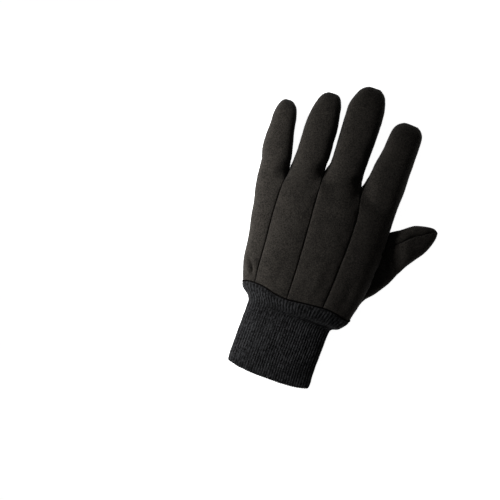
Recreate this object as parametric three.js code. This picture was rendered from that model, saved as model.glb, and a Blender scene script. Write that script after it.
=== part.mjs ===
import * as THREE from 'three';

// Cotton work glove for the left hand, lying palm down on a flat surface.
// Millimetres. +Z is up, +Y runs to the fingertips and +X to the thumb.
// The origin is on the flat of the palm, where the glove rests.

// Driving sizes
const PALM_LENGTH = 114;
const PALM_WIDTH = 124;
const PALM_THICKNESS = 22;
const INDEX_LENGTH = 64.5;
const INDEX_WIDTH = 30;
const MIDDLE_LENGTH = 82;
const MIDDLE_WIDTH = 31;
const RING_LENGTH = 68.5;
const RING_WIDTH = 28;
const LITTLE_LENGTH = 54.5;
const LITTLE_WIDTH = 25;
const FINGER_THICKNESS = 15.5;
const THUMB_LENGTH = 49;
const THUMB_WIDTH = 31;
const THUMB_THICKNESS = 15;
const CUFF_LENGTH = 71;
const CUFF_WIDTH = 74;
const CUFF_THICKNESS = 14;
const CLOTH_WALL = 1.8;
const CUFF_WALL = 2.4;
const SEAM_GAP = 0.3;
const GUSSET_GAP = 1.1;
const STRIP_CROWN = 1.1;
const RIB_DEPTH = 0.8;
const RIB_COUNT = 36;

// Shares of the palm length, measured from the wrist seam
const ORIGIN_UP = 0.42;
const THUMB_FRAME_UP = 0.543;

// How round the pieces are: 2 is an ellipse, more is squarer
const PALM_ROUNDNESS = 2.5;
const FINGER_ROUNDNESS = 2.3;

// Height of the side edges, as a share of the thickness there, and how hard the underside is pressed flat
const SIDE_LEVEL = 0.42;
const PRESSED = 1.25;

// The finger seams lie this far below the widest line of a finger
const SEAM_DROP = THREE.MathUtils.degToRad(20);

// Five lines run up the hand from the wrist: its two outer edges and the three seams of the back.
// A crotch is the share of the palm length at which the line ends between two fingers.
const LINES = [
  { name: 'littleEdge', crotch: 0.925 },
  { name: 'littleRing', crotch: 0.925 },
  { name: 'ringMiddle', crotch: 1 },
  { name: 'middleIndex', crotch: 0.975 },
  { name: 'indexEdge', crotch: 0.975 },
];

// Places of the lines across the hand, as shares of the palm width
const PALM_LINES = [
  { at: 0, littleEdge: -0.341, littleRing: -0.262, ringMiddle: -0.015, middleIndex: 0.239, indexEdge: 0.444 },
  { at: 0.16, littleEdge: -0.387, littleRing: -0.277, ringMiddle: -0.02, middleIndex: 0.248, indexEdge: 0.476 },
  { at: 0.35, littleEdge: -0.413, littleRing: -0.29, ringMiddle: -0.03, middleIndex: 0.253, indexEdge: 0.499 },
  { at: 0.56, littleEdge: -0.452, littleRing: -0.308, ringMiddle: -0.044, middleIndex: 0.256, indexEdge: 0.502 },
  { at: 0.77, littleEdge: -0.494, littleRing: -0.315, ringMiddle: -0.06, middleIndex: 0.246, indexEdge: 0.495 },
  { at: 1, littleEdge: -0.516, littleRing: -0.298, ringMiddle: -0.07, middleIndex: 0.203, indexEdge: 0.492 },
];

// Thickness of the hand, as a share of the palm thickness
const PALM_SECTIONS = [
  { at: 0, thick: 0.86 },
  { at: 0.4, thick: 1 },
  { at: 0.8, thick: 0.9 },
  { at: 1, thick: 0.76 },
];

// Fingers from the little finger to the index. The middle of a section is a share of the palm width,
// and its breadth a share of the finger's own width.
const FINGERS = [
  {
    piece: 'palm_panel', length: LITTLE_LENGTH, width: LITTLE_WIDTH, sections: [
      { at: 0.17, middle: -0.425, wide: 1.05 },
      { at: 0.36, middle: -0.44, wide: 0.98 },
      { at: 0.55, middle: -0.45, wide: 0.86 },
      { at: 0.75, middle: -0.459, wide: 0.79 },
      { at: 0.9, middle: -0.463, wide: 0.62 },
      { at: 0.965, middle: -0.466, wide: 0.44 },
      { at: 1, middle: -0.468, wide: 0.24 },
    ],
  },
  {
    piece: 'ring_back', length: RING_LENGTH, width: RING_WIDTH, sections: [
      { at: 0.22, middle: -0.184, wide: 0.99 },
      { at: 0.39, middle: -0.19, wide: 0.97 },
      { at: 0.54, middle: -0.195, wide: 0.98 },
      { at: 0.7, middle: -0.2, wide: 0.91 },
      { at: 0.88, middle: -0.2, wide: 0.73 },
      { at: 0.96, middle: -0.198, wide: 0.53 },
      { at: 1, middle: -0.196, wide: 0.3 },
    ],
  },
  {
    piece: 'middle_back', length: MIDDLE_LENGTH, width: MIDDLE_WIDTH, sections: [
      { at: 0.12, middle: 0.071, wide: 0.97 },
      { at: 0.36, middle: 0.066, wide: 0.98 },
      { at: 0.55, middle: 0.062, wide: 1.02 },
      { at: 0.76, middle: 0.056, wide: 1 },
      { at: 0.9, middle: 0.06, wide: 0.8 },
      { at: 0.965, middle: 0.062, wide: 0.58 },
      { at: 1, middle: 0.062, wide: 0.32 },
    ],
  },
  {
    piece: 'palm_panel', length: INDEX_LENGTH, width: INDEX_WIDTH, sections: [
      { at: 0.17, middle: 0.363, wide: 1.08 },
      { at: 0.36, middle: 0.367, wide: 1.02 },
      { at: 0.55, middle: 0.375, wide: 0.95 },
      { at: 0.72, middle: 0.377, wide: 0.92 },
      { at: 0.88, middle: 0.381, wide: 0.86 },
      { at: 0.96, middle: 0.383, wide: 0.64 },
      { at: 1, middle: 0.385, wide: 0.36 },
    ],
  },
];

// How full a finger is along its length, as a share of its thickness
const FINGER_FULLNESS = [
  { at: 0, thick: 1 },
  { at: 0.6, thick: 1 },
  { at: 0.82, thick: 0.9 },
  { at: 0.92, thick: 0.7 },
  { at: 0.97, thick: 0.46 },
  { at: 1, thick: 0 },
];

// Seam between the palm and the thumb piece, as shares of the palm width, from the wrist to its top corner
const PALM_SEAM = [
  { at: 0, across: 0.16 },
  { at: 0.35, across: 0.225 },
  { at: 0.64, across: 0.266 },
  { at: 0.9, across: 0.302 },
  { at: 1, across: 0.335 },
];

// Outer edge of the thumb piece below the thumb: shares of the way from the wrist to the thumb's root
const THUMB_BALL = [
  { at: 0, out: 0, up: 0, turn: 0.05 },
  { at: 0.25, out: 0.15, up: 0.3, turn: 0.3 },
  { at: 0.5, out: 0.52, up: 0.54, turn: 0.6 },
  { at: 0.75, out: 0.78, up: 0.75, turn: 0.85 },
  { at: 1, out: 1, up: 1, turn: 1 },
];

// Sections of the thumb in its own frame: shares of its length along it and of its width across it
const THUMB_SECTIONS = [
  { innerAlong: 0.445, inner: 0.497, outerAlong: 0.257, outer: -0.465, thick: 1 },
  { innerAlong: 0.65, inner: 0.455, outerAlong: 0.46, outer: -0.41, thick: 0.98 },
  { innerAlong: 0.785, inner: 0.355, outerAlong: 0.616, outer: -0.36, thick: 0.92 },
  { innerAlong: 0.89, inner: 0.25, outerAlong: 0.79, outer: -0.245, thick: 0.72 },
  { innerAlong: 0.967, inner: 0.13, outerAlong: 0.925, outer: -0.115, thick: 0.44 },
];
const THUMB_ROOT = { along: 0, across: -0.548 };
const THUMB_LEAN = THREE.MathUtils.degToRad(45);
const THUMB_FRAME_OUT = 0.03;

// Angles round a thumb section at which its two seams lie, from its outer edge
const THUMB_BACK_SEAM = THREE.MathUtils.degToRad(103);
const THUMB_PALM_SEAM = THREE.MathUtils.degToRad(-133);
const THUMB_ROOT_PALM_SEAM = THREE.MathUtils.degToRad(-120);
const THUMB_ROOT_BACK_SEAM = THREE.MathUtils.degToRad(90);

// Knit wrist: how much of the hand's greater width each side keeps, down from the wrist seam
const CUFF_SECTIONS = [
  { at: 0, thumbSide: 1, littleSide: 1 },
  { at: 0.035, thumbSide: 1, littleSide: 0.98 },
  { at: 0.085, thumbSide: 0.84, littleSide: 0.7 },
  { at: 0.13, thumbSide: 0.66, littleSide: 0.3 },
  { at: 0.165, thumbSide: 0.48, littleSide: 0.1 },
  { at: 0.19, thumbSide: 0.14, littleSide: 0.02 },
  { at: 0.24, thumbSide: 0.03, littleSide: 0 },
  { at: 0.5, thumbSide: 0, littleSide: 0 },
  { at: 0.78, thumbSide: -0.02, littleSide: 0 },
  { at: 0.97, thumbSide: 0.03, littleSide: -0.03 },
  { at: 1, thumbSide: -0.05, littleSide: -0.12 },
];
const CUFF_MIDDLE = 0.038;
const CUFF_CORNER_RISE = 0.05;

// Rows of the cloth grid: shares of the way up the hand, up a finger and along the thumb's sections
const HAND_ROWS = [0, 0.095, 0.19, 0.285, 0.385, 0.485, 0.587, 0.665, 0.74, 0.81, 0.87, 0.925, 0.965, 0.99, 1];
const FINGER_ROWS = [0.06, 0.13, 0.22, 0.34, 0.46, 0.58, 0.7, 0.81, 0.89, 0.945, 0.98, 1];
const THUMB_ROWS = [0.2, 0.4, 0.65, 1, 1.5, 2, 2.5, 3, 3.5, 4, 4.5, 5];
const THUMB_TOP_ROW = 6;
const CROTCH_ROW = 8;
const STRIP_STEPS = 6;
const THUMB_STEPS = 14;

// The back dips into each crotch over this share of the hand, and the palm over a shorter one
const BACK_DIP = 0.2;
const PALM_DIP = 0.07;
const DIP_SHARPNESS = 0.6;
const FREE_FINGER = 0.16;

const COLOURS = {
  palm_panel: 0x2c2622, middle_back: 0x332c27, ring_back: 0x2f2924,
  thumb_panel: 0x2a2521, thumb_gusset: 0x25211e, knit_cuff: 0x23252a,
};

const { lerp, clamp, smoothstep } = THREE.MathUtils;
const mean = (a, b) => (a + b) / 2;
const signedPower = (value, power) => Math.sign(value) * Math.abs(value) ** power;

// Reads a column of a table at a station, along a smooth curve through its rows
function sample(rows, column, at) {
  const last = rows.length - 1;
  let upper = rows.findIndex((row, index) => index > 0 && at <= row.at);
  if (upper < 0) upper = last;
  const slope = (index) => {
    const before = rows[Math.max(index - 1, 0)];
    const after = rows[Math.min(index + 1, last)];
    return (after[column] - before[column]) / (after.at - before.at);
  };
  const low = rows[upper - 1];
  const high = rows[upper];
  const span = high.at - low.at;
  const t = clamp((at - low.at) / span, 0, 1);
  const ease = t * t * (3 - 2 * t);
  return lerp(low[column], high[column], ease)
    + span * (t * (1 - t) ** 2 * slope(upper - 1) - t * t * (1 - t) * slope(upper));
}

// Hand: heights, outer edges and the rows across it
const FINGER_SIDE_Z = SIDE_LEVEL * FINGER_THICKNESS;
const handThickness = (up) => PALM_THICKNESS * sample(PALM_SECTIONS, 'thick', up);
const sideZ = (up) => lerp(SIDE_LEVEL * handThickness(up), FINGER_SIDE_Z, up ** 3);
const lineX = (line, up) => PALM_WIDTH * sample(PALM_LINES, LINES[line].name, up * LINES[line].crotch);

function handY(up, x) {
  const last = LINES.length - 1;
  const right = clamp(LINES.findIndex((line, index) => x <= lineX(index, up)), 0, last);
  const upper = x > lineX(last, up) ? last : Math.max(right, 1);
  const low = lineX(upper - 1, up);
  const share = clamp((x - low) / (lineX(upper, up) - low), 0, 1);
  const crotch = lerp(LINES[upper - 1].crotch, LINES[upper].crotch, share);
  return (up * crotch - ORIGIN_UP) * PALM_LENGTH;
}

// A point on the rounded section of the hand: angle 0 is the index edge, half a turn the little edge
function handSection(up, angle) {
  const left = lineX(0, up);
  const right = lineX(LINES.length - 1, up);
  const x = mean(left, right) + (right - left) / 2 * signedPower(Math.cos(angle), 2 / PALM_ROUNDNESS);
  const rise = Math.abs(Math.sin(angle)) ** (2 / PALM_ROUNDNESS);
  const side = sideZ(up);
  const z = Math.sin(angle) >= 0 ? lerp(side, handThickness(up), rise) : Math.max(0, side * (1 - PRESSED * rise));
  return new THREE.Vector3(x, handY(up, x), z);
}

function handAngle(up, x) {
  const left = lineX(0, up);
  const right = lineX(LINES.length - 1, up);
  const share = clamp((x - mean(left, right)) / ((right - left) / 2), -1, 1);
  return Math.acos(clamp(signedPower(share, PALM_ROUNDNESS / 2), -1, 1));
}

// How far the hand has closed into the crotch between two fingers, along a round nose
function dip(up, length) {
  const share = clamp((up - 1 + length) / length, 0, 1);
  return 1 - Math.sqrt(1 - share * share);
}

// A strip's arch over its finger's root. It meets a crotch steeply, and is round on an outer side of the hand:
// outer is -1 for the little edge, 1 for the index edge and 0 between two crotches.
function rootArch(left, right, u, height, outer) {
  const angle = Math.PI * (1 - u);
  const round = (u - 0.5) * outer > 0;
  const share = round ? (1 + signedPower(Math.cos(angle), 2 / FINGER_ROUNDNESS)) / 2 : u;
  const rise = round ? Math.sin(angle) ** (2 / FINGER_ROUNDNESS) : (4 * u * (1 - u)) ** DIP_SHARPNESS;
  const point = new THREE.Vector3().lerpVectors(left, right, share);
  point.z = Math.max(0, point.z + height * rise);
  return point;
}

const outerSide = (strip) => (strip === 0 ? -1 : Number(strip === FINGERS.length - 1));

function rootEnd(line, up, x) {
  const outer = line === 0 || line === LINES.length - 1;
  return new THREE.Vector3(x, handY(up, x), outer ? sideZ(up) : FINGER_SIDE_Z);
}

// Cloth of the back: strip is the finger's number and u runs from its little side to its index side
function backPoint(strip, up, u) {
  const left = lineX(strip, up);
  const right = lineX(strip + 1, up);
  const cloth = handSection(up, lerp(handAngle(up, left), handAngle(up, right), u));
  cloth.z += STRIP_CROWN * 4 * u * (1 - u) * smoothstep(up, 0, 0.2);
  const ends = [rootEnd(strip, up, left), rootEnd(strip + 1, up, right)];
  const arch = rootArch(...ends, u, FINGER_THICKNESS - FINGER_SIDE_Z, outerSide(strip));
  return cloth.lerp(arch, dip(up, BACK_DIP));
}

// Cloth of the palm, whose columns spread evenly at the wrist and meet the fingers at the top
const THUMB_TOP = HAND_ROWS[THUMB_TOP_ROW];
const CROTCH_TOP = HAND_ROWS[CROTCH_ROW];

function palmEdgeX(up) {
  const edge = lineX(LINES.length - 1, up);
  if (up >= CROTCH_TOP) return edge;
  const seam = PALM_WIDTH * sample(PALM_SEAM, 'across', Math.min(up / THUMB_TOP, 1));
  return up <= THUMB_TOP ? seam : lerp(seam, edge, (up - THUMB_TOP) / (CROTCH_TOP - THUMB_TOP));
}

function palmLineX(line, up) {
  if (line === 0) return lineX(0, up);
  if (line === LINES.length - 1) return palmEdgeX(up);
  const even = lerp(lineX(0, up), palmEdgeX(up), line / (LINES.length - 1));
  return lerp(even, lineX(line, up), smoothstep(up, 0.35, 0.85));
}

function palmPoint(strip, up, u) {
  const left = palmLineX(strip, up);
  const right = palmLineX(strip + 1, up);
  const cloth = handSection(up, -lerp(handAngle(up, left), handAngle(up, right), u));
  const ends = [rootEnd(strip, up, left), rootEnd(strip + 1, up, right)];
  const arch = rootArch(...ends, u, -PRESSED * FINGER_SIDE_Z, outerSide(strip));
  return cloth.lerp(arch, dip(up, PALM_DIP));
}

// Cloth of a finger: side is 1 on the back and -1 on the palm
function fingerSheet(strip, side, root) {
  const finger = FINGERS[strip];
  const low = root[0];
  const high = root[root.length - 1];
  const tipY = mean(low.y, high.y) + finger.length;
  const edges = [{ at: 0, left: low.x, right: high.x }];
  for (const { at, middle, wide } of finger.sections) {
    const half = finger.width * wide / 2;
    edges.push({ at, left: middle * PALM_WIDTH - half, right: middle * PALM_WIDTH + half });
  }
  return FINGER_ROWS.map((along) => {
    const left = new THREE.Vector3(sample(edges, 'left', along), lerp(low.y, tipY, along), FINGER_SIDE_Z);
    const right = new THREE.Vector3(sample(edges, 'right', along), lerp(high.y, tipY, along), FINGER_SIDE_Z);
    const full = clamp(sample(FINGER_FULLNESS, 'thick', along), 0, 1);
    const drop = SEAM_DROP * smoothstep(along, 0, 0.3) * smoothstep(1 - along, 0, 0.1);
    const upper = (FINGER_THICKNESS - FINGER_SIDE_Z) * full;
    const lower = -PRESSED * FINGER_SIDE_Z * full;
    return root.map((_, step) => {
      const u = step / STRIP_STEPS;
      const angle = side > 0 ? Math.PI + drop - u * (Math.PI + 2 * drop) : Math.PI + drop + u * (Math.PI - 2 * drop);
      const share = (1 + signedPower(Math.cos(angle), 2 / FINGER_ROUNDNESS)) / 2;
      const rise = Math.abs(Math.sin(angle)) ** (2 / FINGER_ROUNDNESS);
      const round = new THREE.Vector3().lerpVectors(left, right, share);
      round.z = Math.max(0, round.z + rise * (Math.sin(angle) > 0 ? upper : lower));
      const arch = rootArch(left, right, u, side > 0 ? upper : lower, outerSide(strip));
      return arch.lerp(round, smoothstep(along, 0, FREE_FINGER));
    });
  });
}

// Thumb frame: its root lies beside the hand, and it leans away from the fingers
const thumbRoot = new THREE.Vector2(
  lineX(LINES.length - 1, THUMB_TOP) + THUMB_FRAME_OUT * PALM_WIDTH,
  (THUMB_FRAME_UP - ORIGIN_UP) * PALM_LENGTH,
);

function thumbPlace(along, across) {
  const place = new THREE.Vector2(along * THUMB_LENGTH, across * THUMB_WIDTH);
  return place.rotateAround(new THREE.Vector2(), THUMB_LEAN).add(thumbRoot);
}

const THUMB_SIDE_Z = SIDE_LEVEL * THUMB_THICKNESS;

// A rounded section with its outer edge at reach from its middle
function roundSection(middle, reach, angle, full) {
  const place = middle.clone().addScaledVector(reach, signedPower(Math.cos(angle), 2 / FINGER_ROUNDNESS));
  const rise = Math.abs(Math.sin(angle)) ** (2 / FINGER_ROUNDNESS) * full;
  const height = Math.sin(angle) > 0 ? (THUMB_THICKNESS - THUMB_SIDE_Z) * rise : -PRESSED * THUMB_SIDE_Z * rise;
  return new THREE.Vector3(place.x, place.y, Math.max(0, THUMB_SIDE_Z + height));
}

// Thumb piece beside the hand: it starts at the index edge, goes round the ball of the thumb and ends at the palm seam
function thumbBallRow(up, back, palm) {
  const at = up / THUMB_TOP;
  const wrist = handSection(0, 0);
  const root = thumbPlace(THUMB_ROOT.along, THUMB_ROOT.across);
  const outer = new THREE.Vector2(
    lerp(wrist.x, root.x, sample(THUMB_BALL, 'out', at)),
    lerp(wrist.y, root.y, sample(THUMB_BALL, 'up', at)),
  );
  const palmPlace = new THREE.Vector2(palm.x, palm.y);
  const bend = 1 - signedPower(Math.cos(THUMB_ROOT_PALM_SEAM), 2 / FINGER_ROUNDNESS);
  const reach = outer.clone().sub(palmPlace).divideScalar(bend);
  const middle = outer.clone().sub(reach);
  const start = THUMB_ROOT_BACK_SEAM * sample(THUMB_BALL, 'turn', at);
  const seamAngle = -handAngle(up, palm.x);
  const first = roundSection(middle, reach, start, 1);
  return Array.from({ length: THUMB_STEPS + 1 }, (_, step) => {
    const u = step / THUMB_STEPS;
    const round = roundSection(middle, reach, lerp(start, THUMB_ROOT_PALM_SEAM, u), 1);
    round.addScaledVector(back.clone().sub(first), (1 - u) ** 2);
    round.z = Math.max(0, round.z);
    return handSection(up, seamAngle * u).lerp(round, smoothstep(at, 0, 0.5));
  }).map((point, step) => (step === 0 ? back.clone() : step === THUMB_STEPS ? palm.clone() : point));
}

function thumbSection({ innerAlong, inner, outerAlong, outer, thick }, angles) {
  const near = thumbPlace(innerAlong, inner);
  const far = thumbPlace(outerAlong, outer);
  const middle = near.clone().add(far).multiplyScalar(0.5);
  return angles.map((angle) => roundSection(middle, far.clone().sub(middle), angle, thick));
}

// Runs smooth curves along the sections, one for each column, and reads the rows off them
function runAlong(sections, skipped) {
  const curves = sections[0].map((_, column) => new THREE.CatmullRomCurve3(sections.map((row) => row[column])));
  const spans = sections.length - 1;
  return THUMB_ROWS.map((row) => curves.map((curve) => {
    const point = curve.getPoint((row + skipped) / spans);
    return point.setZ(Math.max(0, point.z));
  }));
}

// The skin: every face of the outer surface with the piece that it belongs to
const skin = [];
const cutEdges = new Set();
const cornerKey = (point) => point.toArray().map((value) => Math.round(value * 1e4)).join(' ');
const edgeKey = (a, b) => [cornerKey(a), cornerKey(b)].sort().join('|');

function addSheet(piece, rows, turned) {
  for (let row = 1; row < rows.length; row += 1) {
    for (let step = 1; step < rows[row].length; step += 1) {
      const [a, b] = [rows[row - 1][step - 1], rows[row - 1][step]];
      const [d, c] = [rows[row][step - 1], rows[row][step]];
      const halves = turned ? [[a, d, b], [b, d, c]] : [[a, b, c], [a, c, d]];
      for (const corners of halves) {
        if (new Set(corners.map(cornerKey)).size === 3) skin.push({ piece, corners });
      }
    }
  }
}

function cutAlong(points) {
  points.slice(1).forEach((point, index) => cutEdges.add(edgeKey(points[index], point)));
}

const steps = Array.from({ length: STRIP_STEPS + 1 }, (_, step) => step / STRIP_STEPS);
const backs = FINGERS.map((_, strip) => HAND_ROWS.map((up) => steps.map((u) => backPoint(strip, up, u))));
const palms = FINGERS.map((_, strip) => HAND_ROWS.map((up) => steps.map((u) => palmPoint(strip, up, u))));

// Makes sheets beside each other share the corners on their common line
function shareEdge(from, fromEnd, to, toEnd, rows) {
  for (const row of rows) to[row].splice(toEnd, 1, from[row].at(fromEnd));
}

const handRowNumbers = [...HAND_ROWS.keys()];
const fingerRowNumbers = [...FINGER_ROWS.keys()].map((row) => row + HAND_ROWS.length);
FINGERS.forEach((finger, strip) => {
  if (strip > 0) {
    shareEdge(backs[strip - 1], -1, backs[strip], 0, handRowNumbers);
    shareEdge(palms[strip - 1], -1, palms[strip], 0, handRowNumbers);
  }
  const crotchRow = [HAND_ROWS.length - 1];
  shareEdge(backs[strip], 0, palms[strip], 0, strip === 0 ? handRowNumbers : crotchRow);
  shareEdge(backs[strip], -1, palms[strip], -1, strip === FINGERS.length - 1 ? handRowNumbers.slice(CROTCH_ROW) : crotchRow);
  backs[strip].push(...fingerSheet(strip, 1, backs[strip].at(-1)));
  palms[strip].push(...fingerSheet(strip, -1, palms[strip].at(-1)));
  shareEdge(backs[strip], 0, palms[strip], 0, fingerRowNumbers);
  shareEdge(backs[strip], -1, palms[strip], -1, fingerRowNumbers);
  palms[strip].splice(-1, 1, backs[strip].at(-1));
  addSheet(finger.piece, backs[strip], false);
  addSheet('palm_panel', palms[strip], true);
});

// The index and little fingers are folded from the palm piece, and are sewn up the inner side and over the tip
const fingerRows = (sheet) => sheet.slice(HAND_ROWS.length - 1);
cutAlong(fingerRows(backs[0]).map((row) => row.at(-1)));
cutAlong(fingerRows(backs[3]).map((row) => row[0]));
cutAlong(backs[0].at(-1));
cutAlong(backs[3].at(-1));

// Thumb piece and the strip between its two seams
const indexBack = backs.at(-1);
const indexPalm = palms.at(-1);
const ballRows = HAND_ROWS.slice(0, THUMB_TOP_ROW + 1)
  .map((up, row) => thumbBallRow(up, indexBack[row].at(-1), indexPalm[row].at(-1)));
const panelAngles = Array.from(
  { length: THUMB_STEPS + 1 },
  (_, step) => lerp(THUMB_BACK_SEAM, THUMB_PALM_SEAM, step / THUMB_STEPS),
);
const gussetAngles = [
  THUMB_BACK_SEAM, mean(THUMB_BACK_SEAM, Math.PI), Math.PI,
  mean(Math.PI, 2 * Math.PI + THUMB_PALM_SEAM), 2 * Math.PI + THUMB_PALM_SEAM,
];
const tipPlace = thumbPlace(1, 0);
const tip = new THREE.Vector3(tipPlace.x, tipPlace.y, THUMB_SIDE_Z);
const panelRows = runAlong([
  ...ballRows.slice(-2),
  ...THUMB_SECTIONS.map((section) => thumbSection(section, panelAngles)),
  panelAngles.map(() => tip),
], 1);
panelRows.push(panelAngles.map(() => tip));
addSheet('thumb_panel', [...ballRows, ...panelRows], false);

const gussetRoot = [
  indexBack[THUMB_TOP_ROW].at(-1), indexBack[THUMB_TOP_ROW + 1].at(-1), indexBack[CROTCH_ROW].at(-1),
  indexPalm[THUMB_TOP_ROW + 1].at(-1), indexPalm[THUMB_TOP_ROW].at(-1),
];
const gussetRows = runAlong([
  gussetRoot,
  ...THUMB_SECTIONS.map((section) => thumbSection(section, gussetAngles)),
  gussetAngles.map(() => tip),
], 0);
gussetRows.forEach((row, index) => {
  row[0] = panelRows[index][0];
  row[row.length - 1] = panelRows[index].at(-1);
});
gussetRows.push(gussetAngles.map(() => tip));
addSheet('thumb_gusset', [gussetRoot, ...gussetRows], true);

// Outward directions of the whole skin, so that pieces beside each other keep parallel edges
const outward = new Map();
for (const { corners: [a, b, c] } of skin) {
  const area = b.clone().sub(a).cross(c.clone().sub(a));
  for (const corner of [a, b, c]) {
    const key = cornerKey(corner);
    outward.set(key, (outward.get(key) ?? new THREE.Vector3()).add(area));
  }
}
outward.forEach((direction) => direction.normalize());

// Gives a piece its own corners: two faces share a corner only if they are joined there by uncut cloth
function joinCorners(faces) {
  const parent = faces.flatMap((_, face) => [3 * face, 3 * face + 1, 3 * face + 2]);
  const root = (index) => {
    let found = index;
    while (parent[found] !== found) found = parent[found];
    return found;
  };
  const open = new Map();
  faces.forEach(({ corners }, face) => {
    corners.forEach((corner, turn) => {
      const next = (turn + 1) % 3;
      const key = edgeKey(corner, corners[next]);
      if (cutEdges.has(key)) return;
      const here = [3 * face + turn, 3 * face + next];
      if (!open.has(key)) {
        open.set(key, here);
        return;
      }
      const there = open.get(key);
      parent[root(here[0])] = root(there[1]);
      parent[root(here[1])] = root(there[0]);
    });
  });
  return parent.map((_, index) => root(index));
}

// Turns a piece of the skin into cloth with a wall: the seam edges draw back by half the gap
function clothPiece(piece) {
  const faces = skin.filter((face) => face.piece === piece);
  const joined = joinCorners(faces);
  const numbers = new Map();
  const outer = [];
  const normals = [];
  const index = joined.map((root, corner) => {
    if (!numbers.has(root)) {
      const point = faces[Math.floor(corner / 3)].corners[corner % 3];
      numbers.set(root, outer.length);
      outer.push(point.clone());
      normals.push(outward.get(cornerKey(point)));
    }
    return numbers.get(root);
  });
  const directed = new Set();
  for (let corner = 0; corner < index.length; corner += 1) {
    const next = corner - (corner % 3) + ((corner + 1) % 3);
    directed.add(`${index[corner]}>${index[next]}`);
  }
  const rim = [...directed].map((edge) => edge.split('>').map(Number)).filter(([a, b]) => !directed.has(`${b}>${a}`));
  const pulls = outer.map(() => new THREE.Vector3());
  for (const [a, b] of rim) {
    const along = outer[b].clone().sub(outer[a]).normalize();
    pulls[a].add(normals[a].clone().cross(along));
    pulls[b].add(normals[b].clone().cross(along));
  }
  const gap = piece === 'thumb_gusset' ? GUSSET_GAP : SEAM_GAP;
  outer.forEach((point, number) => point.addScaledVector(pulls[number].normalize(), gap / 2));
  const inner = outer.map((point, number) => point.clone().addScaledVector(normals[number], -CLOTH_WALL));
  const shift = outer.length;
  const triangles = [...index];
  for (let corner = 0; corner < index.length; corner += 3) {
    triangles.push(index[corner] + shift, index[corner + 2] + shift, index[corner + 1] + shift);
  }
  for (const [a, b] of rim) triangles.push(b, a, a + shift, b, a + shift, b + shift);
  return solid([...outer, ...inner], triangles);
}

function solid(points, triangles) {
  const geometry = new THREE.BufferGeometry();
  geometry.setAttribute('position', new THREE.Float32BufferAttribute(points.flatMap((point) => point.toArray()), 3));
  geometry.setIndex(triangles);
  geometry.computeVertexNormals();
  return geometry;
}

// Knit wrist: a ribbed tube that rolls in under the wrist seam and rests on the surface like the palm
function cuffPoint(section, angle, inset) {
  const wristLeft = lineX(0, 0);
  const wristRight = lineX(LINES.length - 1, 0);
  const tubeLeft = CUFF_MIDDLE * PALM_WIDTH - CUFF_WIDTH / 2;
  const tubeRight = tubeLeft + CUFF_WIDTH;
  const left = lerp(tubeLeft, wristLeft, section.littleSide) + inset;
  const right = lerp(tubeRight, wristRight, section.thumbSide) - inset;
  const keep = mean(section.littleSide, section.thumbSide);
  const thickness = lerp(CUFF_THICKNESS, handThickness(0), keep);
  const side = SIDE_LEVEL * thickness;
  const cosine = signedPower(Math.cos(angle), 2 / PALM_ROUNDNESS);
  const rise = Math.abs(Math.sin(angle)) ** (2 / PALM_ROUNDNESS);
  const top = lerp(side, thickness - inset, rise);
  const under = Math.max(inset, side * (1 - PRESSED * rise));
  const corner = CUFF_CORNER_RISE * section.at * Math.abs(cosine) ** 3;
  const y = -ORIGIN_UP * PALM_LENGTH - SEAM_GAP / 2 - (section.at - corner) * CUFF_LENGTH;
  return new THREE.Vector3(mean(left, right) + (right - left) / 2 * cosine, y, Math.sin(angle) >= 0 ? top : under);
}

function knitCuff() {
  const around = 2 * RIB_COUNT;
  const middleOf = (section) => {
    const [a, b] = [cuffPoint(section, 0, 0), cuffPoint(section, Math.PI, 0)];
    return a.add(b).multiplyScalar(0.5);
  };
  const ring = (section, inset, ribbed) => Array.from({ length: around }, (_, step) => {
    const point = cuffPoint(section, 2 * Math.PI * step / around, inset);
    const away = point.clone().sub(middleOf(section)).setY(0).normalize();
    const fade = ribbed * smoothstep(section.at, 0, 0.12);
    point.addScaledVector(away, (step % 2 ? -1 : 0) * RIB_DEPTH * fade);
    point.z = Math.max(inset, point.z);
    return point;
  });
  const hem = CUFF_SECTIONS.at(-1);
  const rows = [
    ...CUFF_SECTIONS.map((section) => ring(section, 0, 1)),
    ...CUFF_SECTIONS.toReversed().map((section) => ring({ ...section, at: Math.min(section.at, hem.at) }, CUFF_WALL, 0)),
  ];
  const points = rows.flat();
  const triangles = [];
  rows.forEach((_, row) => {
    const next = (row + 1) % rows.length;
    for (let step = 0; step < around; step += 1) {
      const turn = (step + 1) % around;
      const [a, b] = [row * around + step, row * around + turn];
      const [d, c] = [next * around + step, next * around + turn];
      triangles.push(a, b, c, a, c, d);
    }
  });
  return solid(points, triangles);
}

const glove = new THREE.Group();
for (const [name, colour] of Object.entries(COLOURS)) {
  const material = new THREE.MeshStandardMaterial({ color: colour, roughness: 0.95, metalness: 0 });
  const mesh = new THREE.Mesh(name === 'knit_cuff' ? knitCuff() : clothPiece(name), material);
  mesh.name = name;
  glove.add(mesh);
}

export default glove;
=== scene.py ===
"""Cotton work glove for the left hand, lying palm down: brushed brown jersey with a charcoal rib knit wrist.

The cloth is one surface that is worked out from the glove's own sizes and cut into its sewn pieces.
Each piece then gets a wall, rolled seam edges, folds and its finish. Sizes are in millimetres until
a mesh is made, and every mesh is in metres.
"""
import logging
import math
from dataclasses import dataclass, field
from enum import Enum

import bpy
import numpy as np
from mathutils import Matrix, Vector, kdtree, noise


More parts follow.
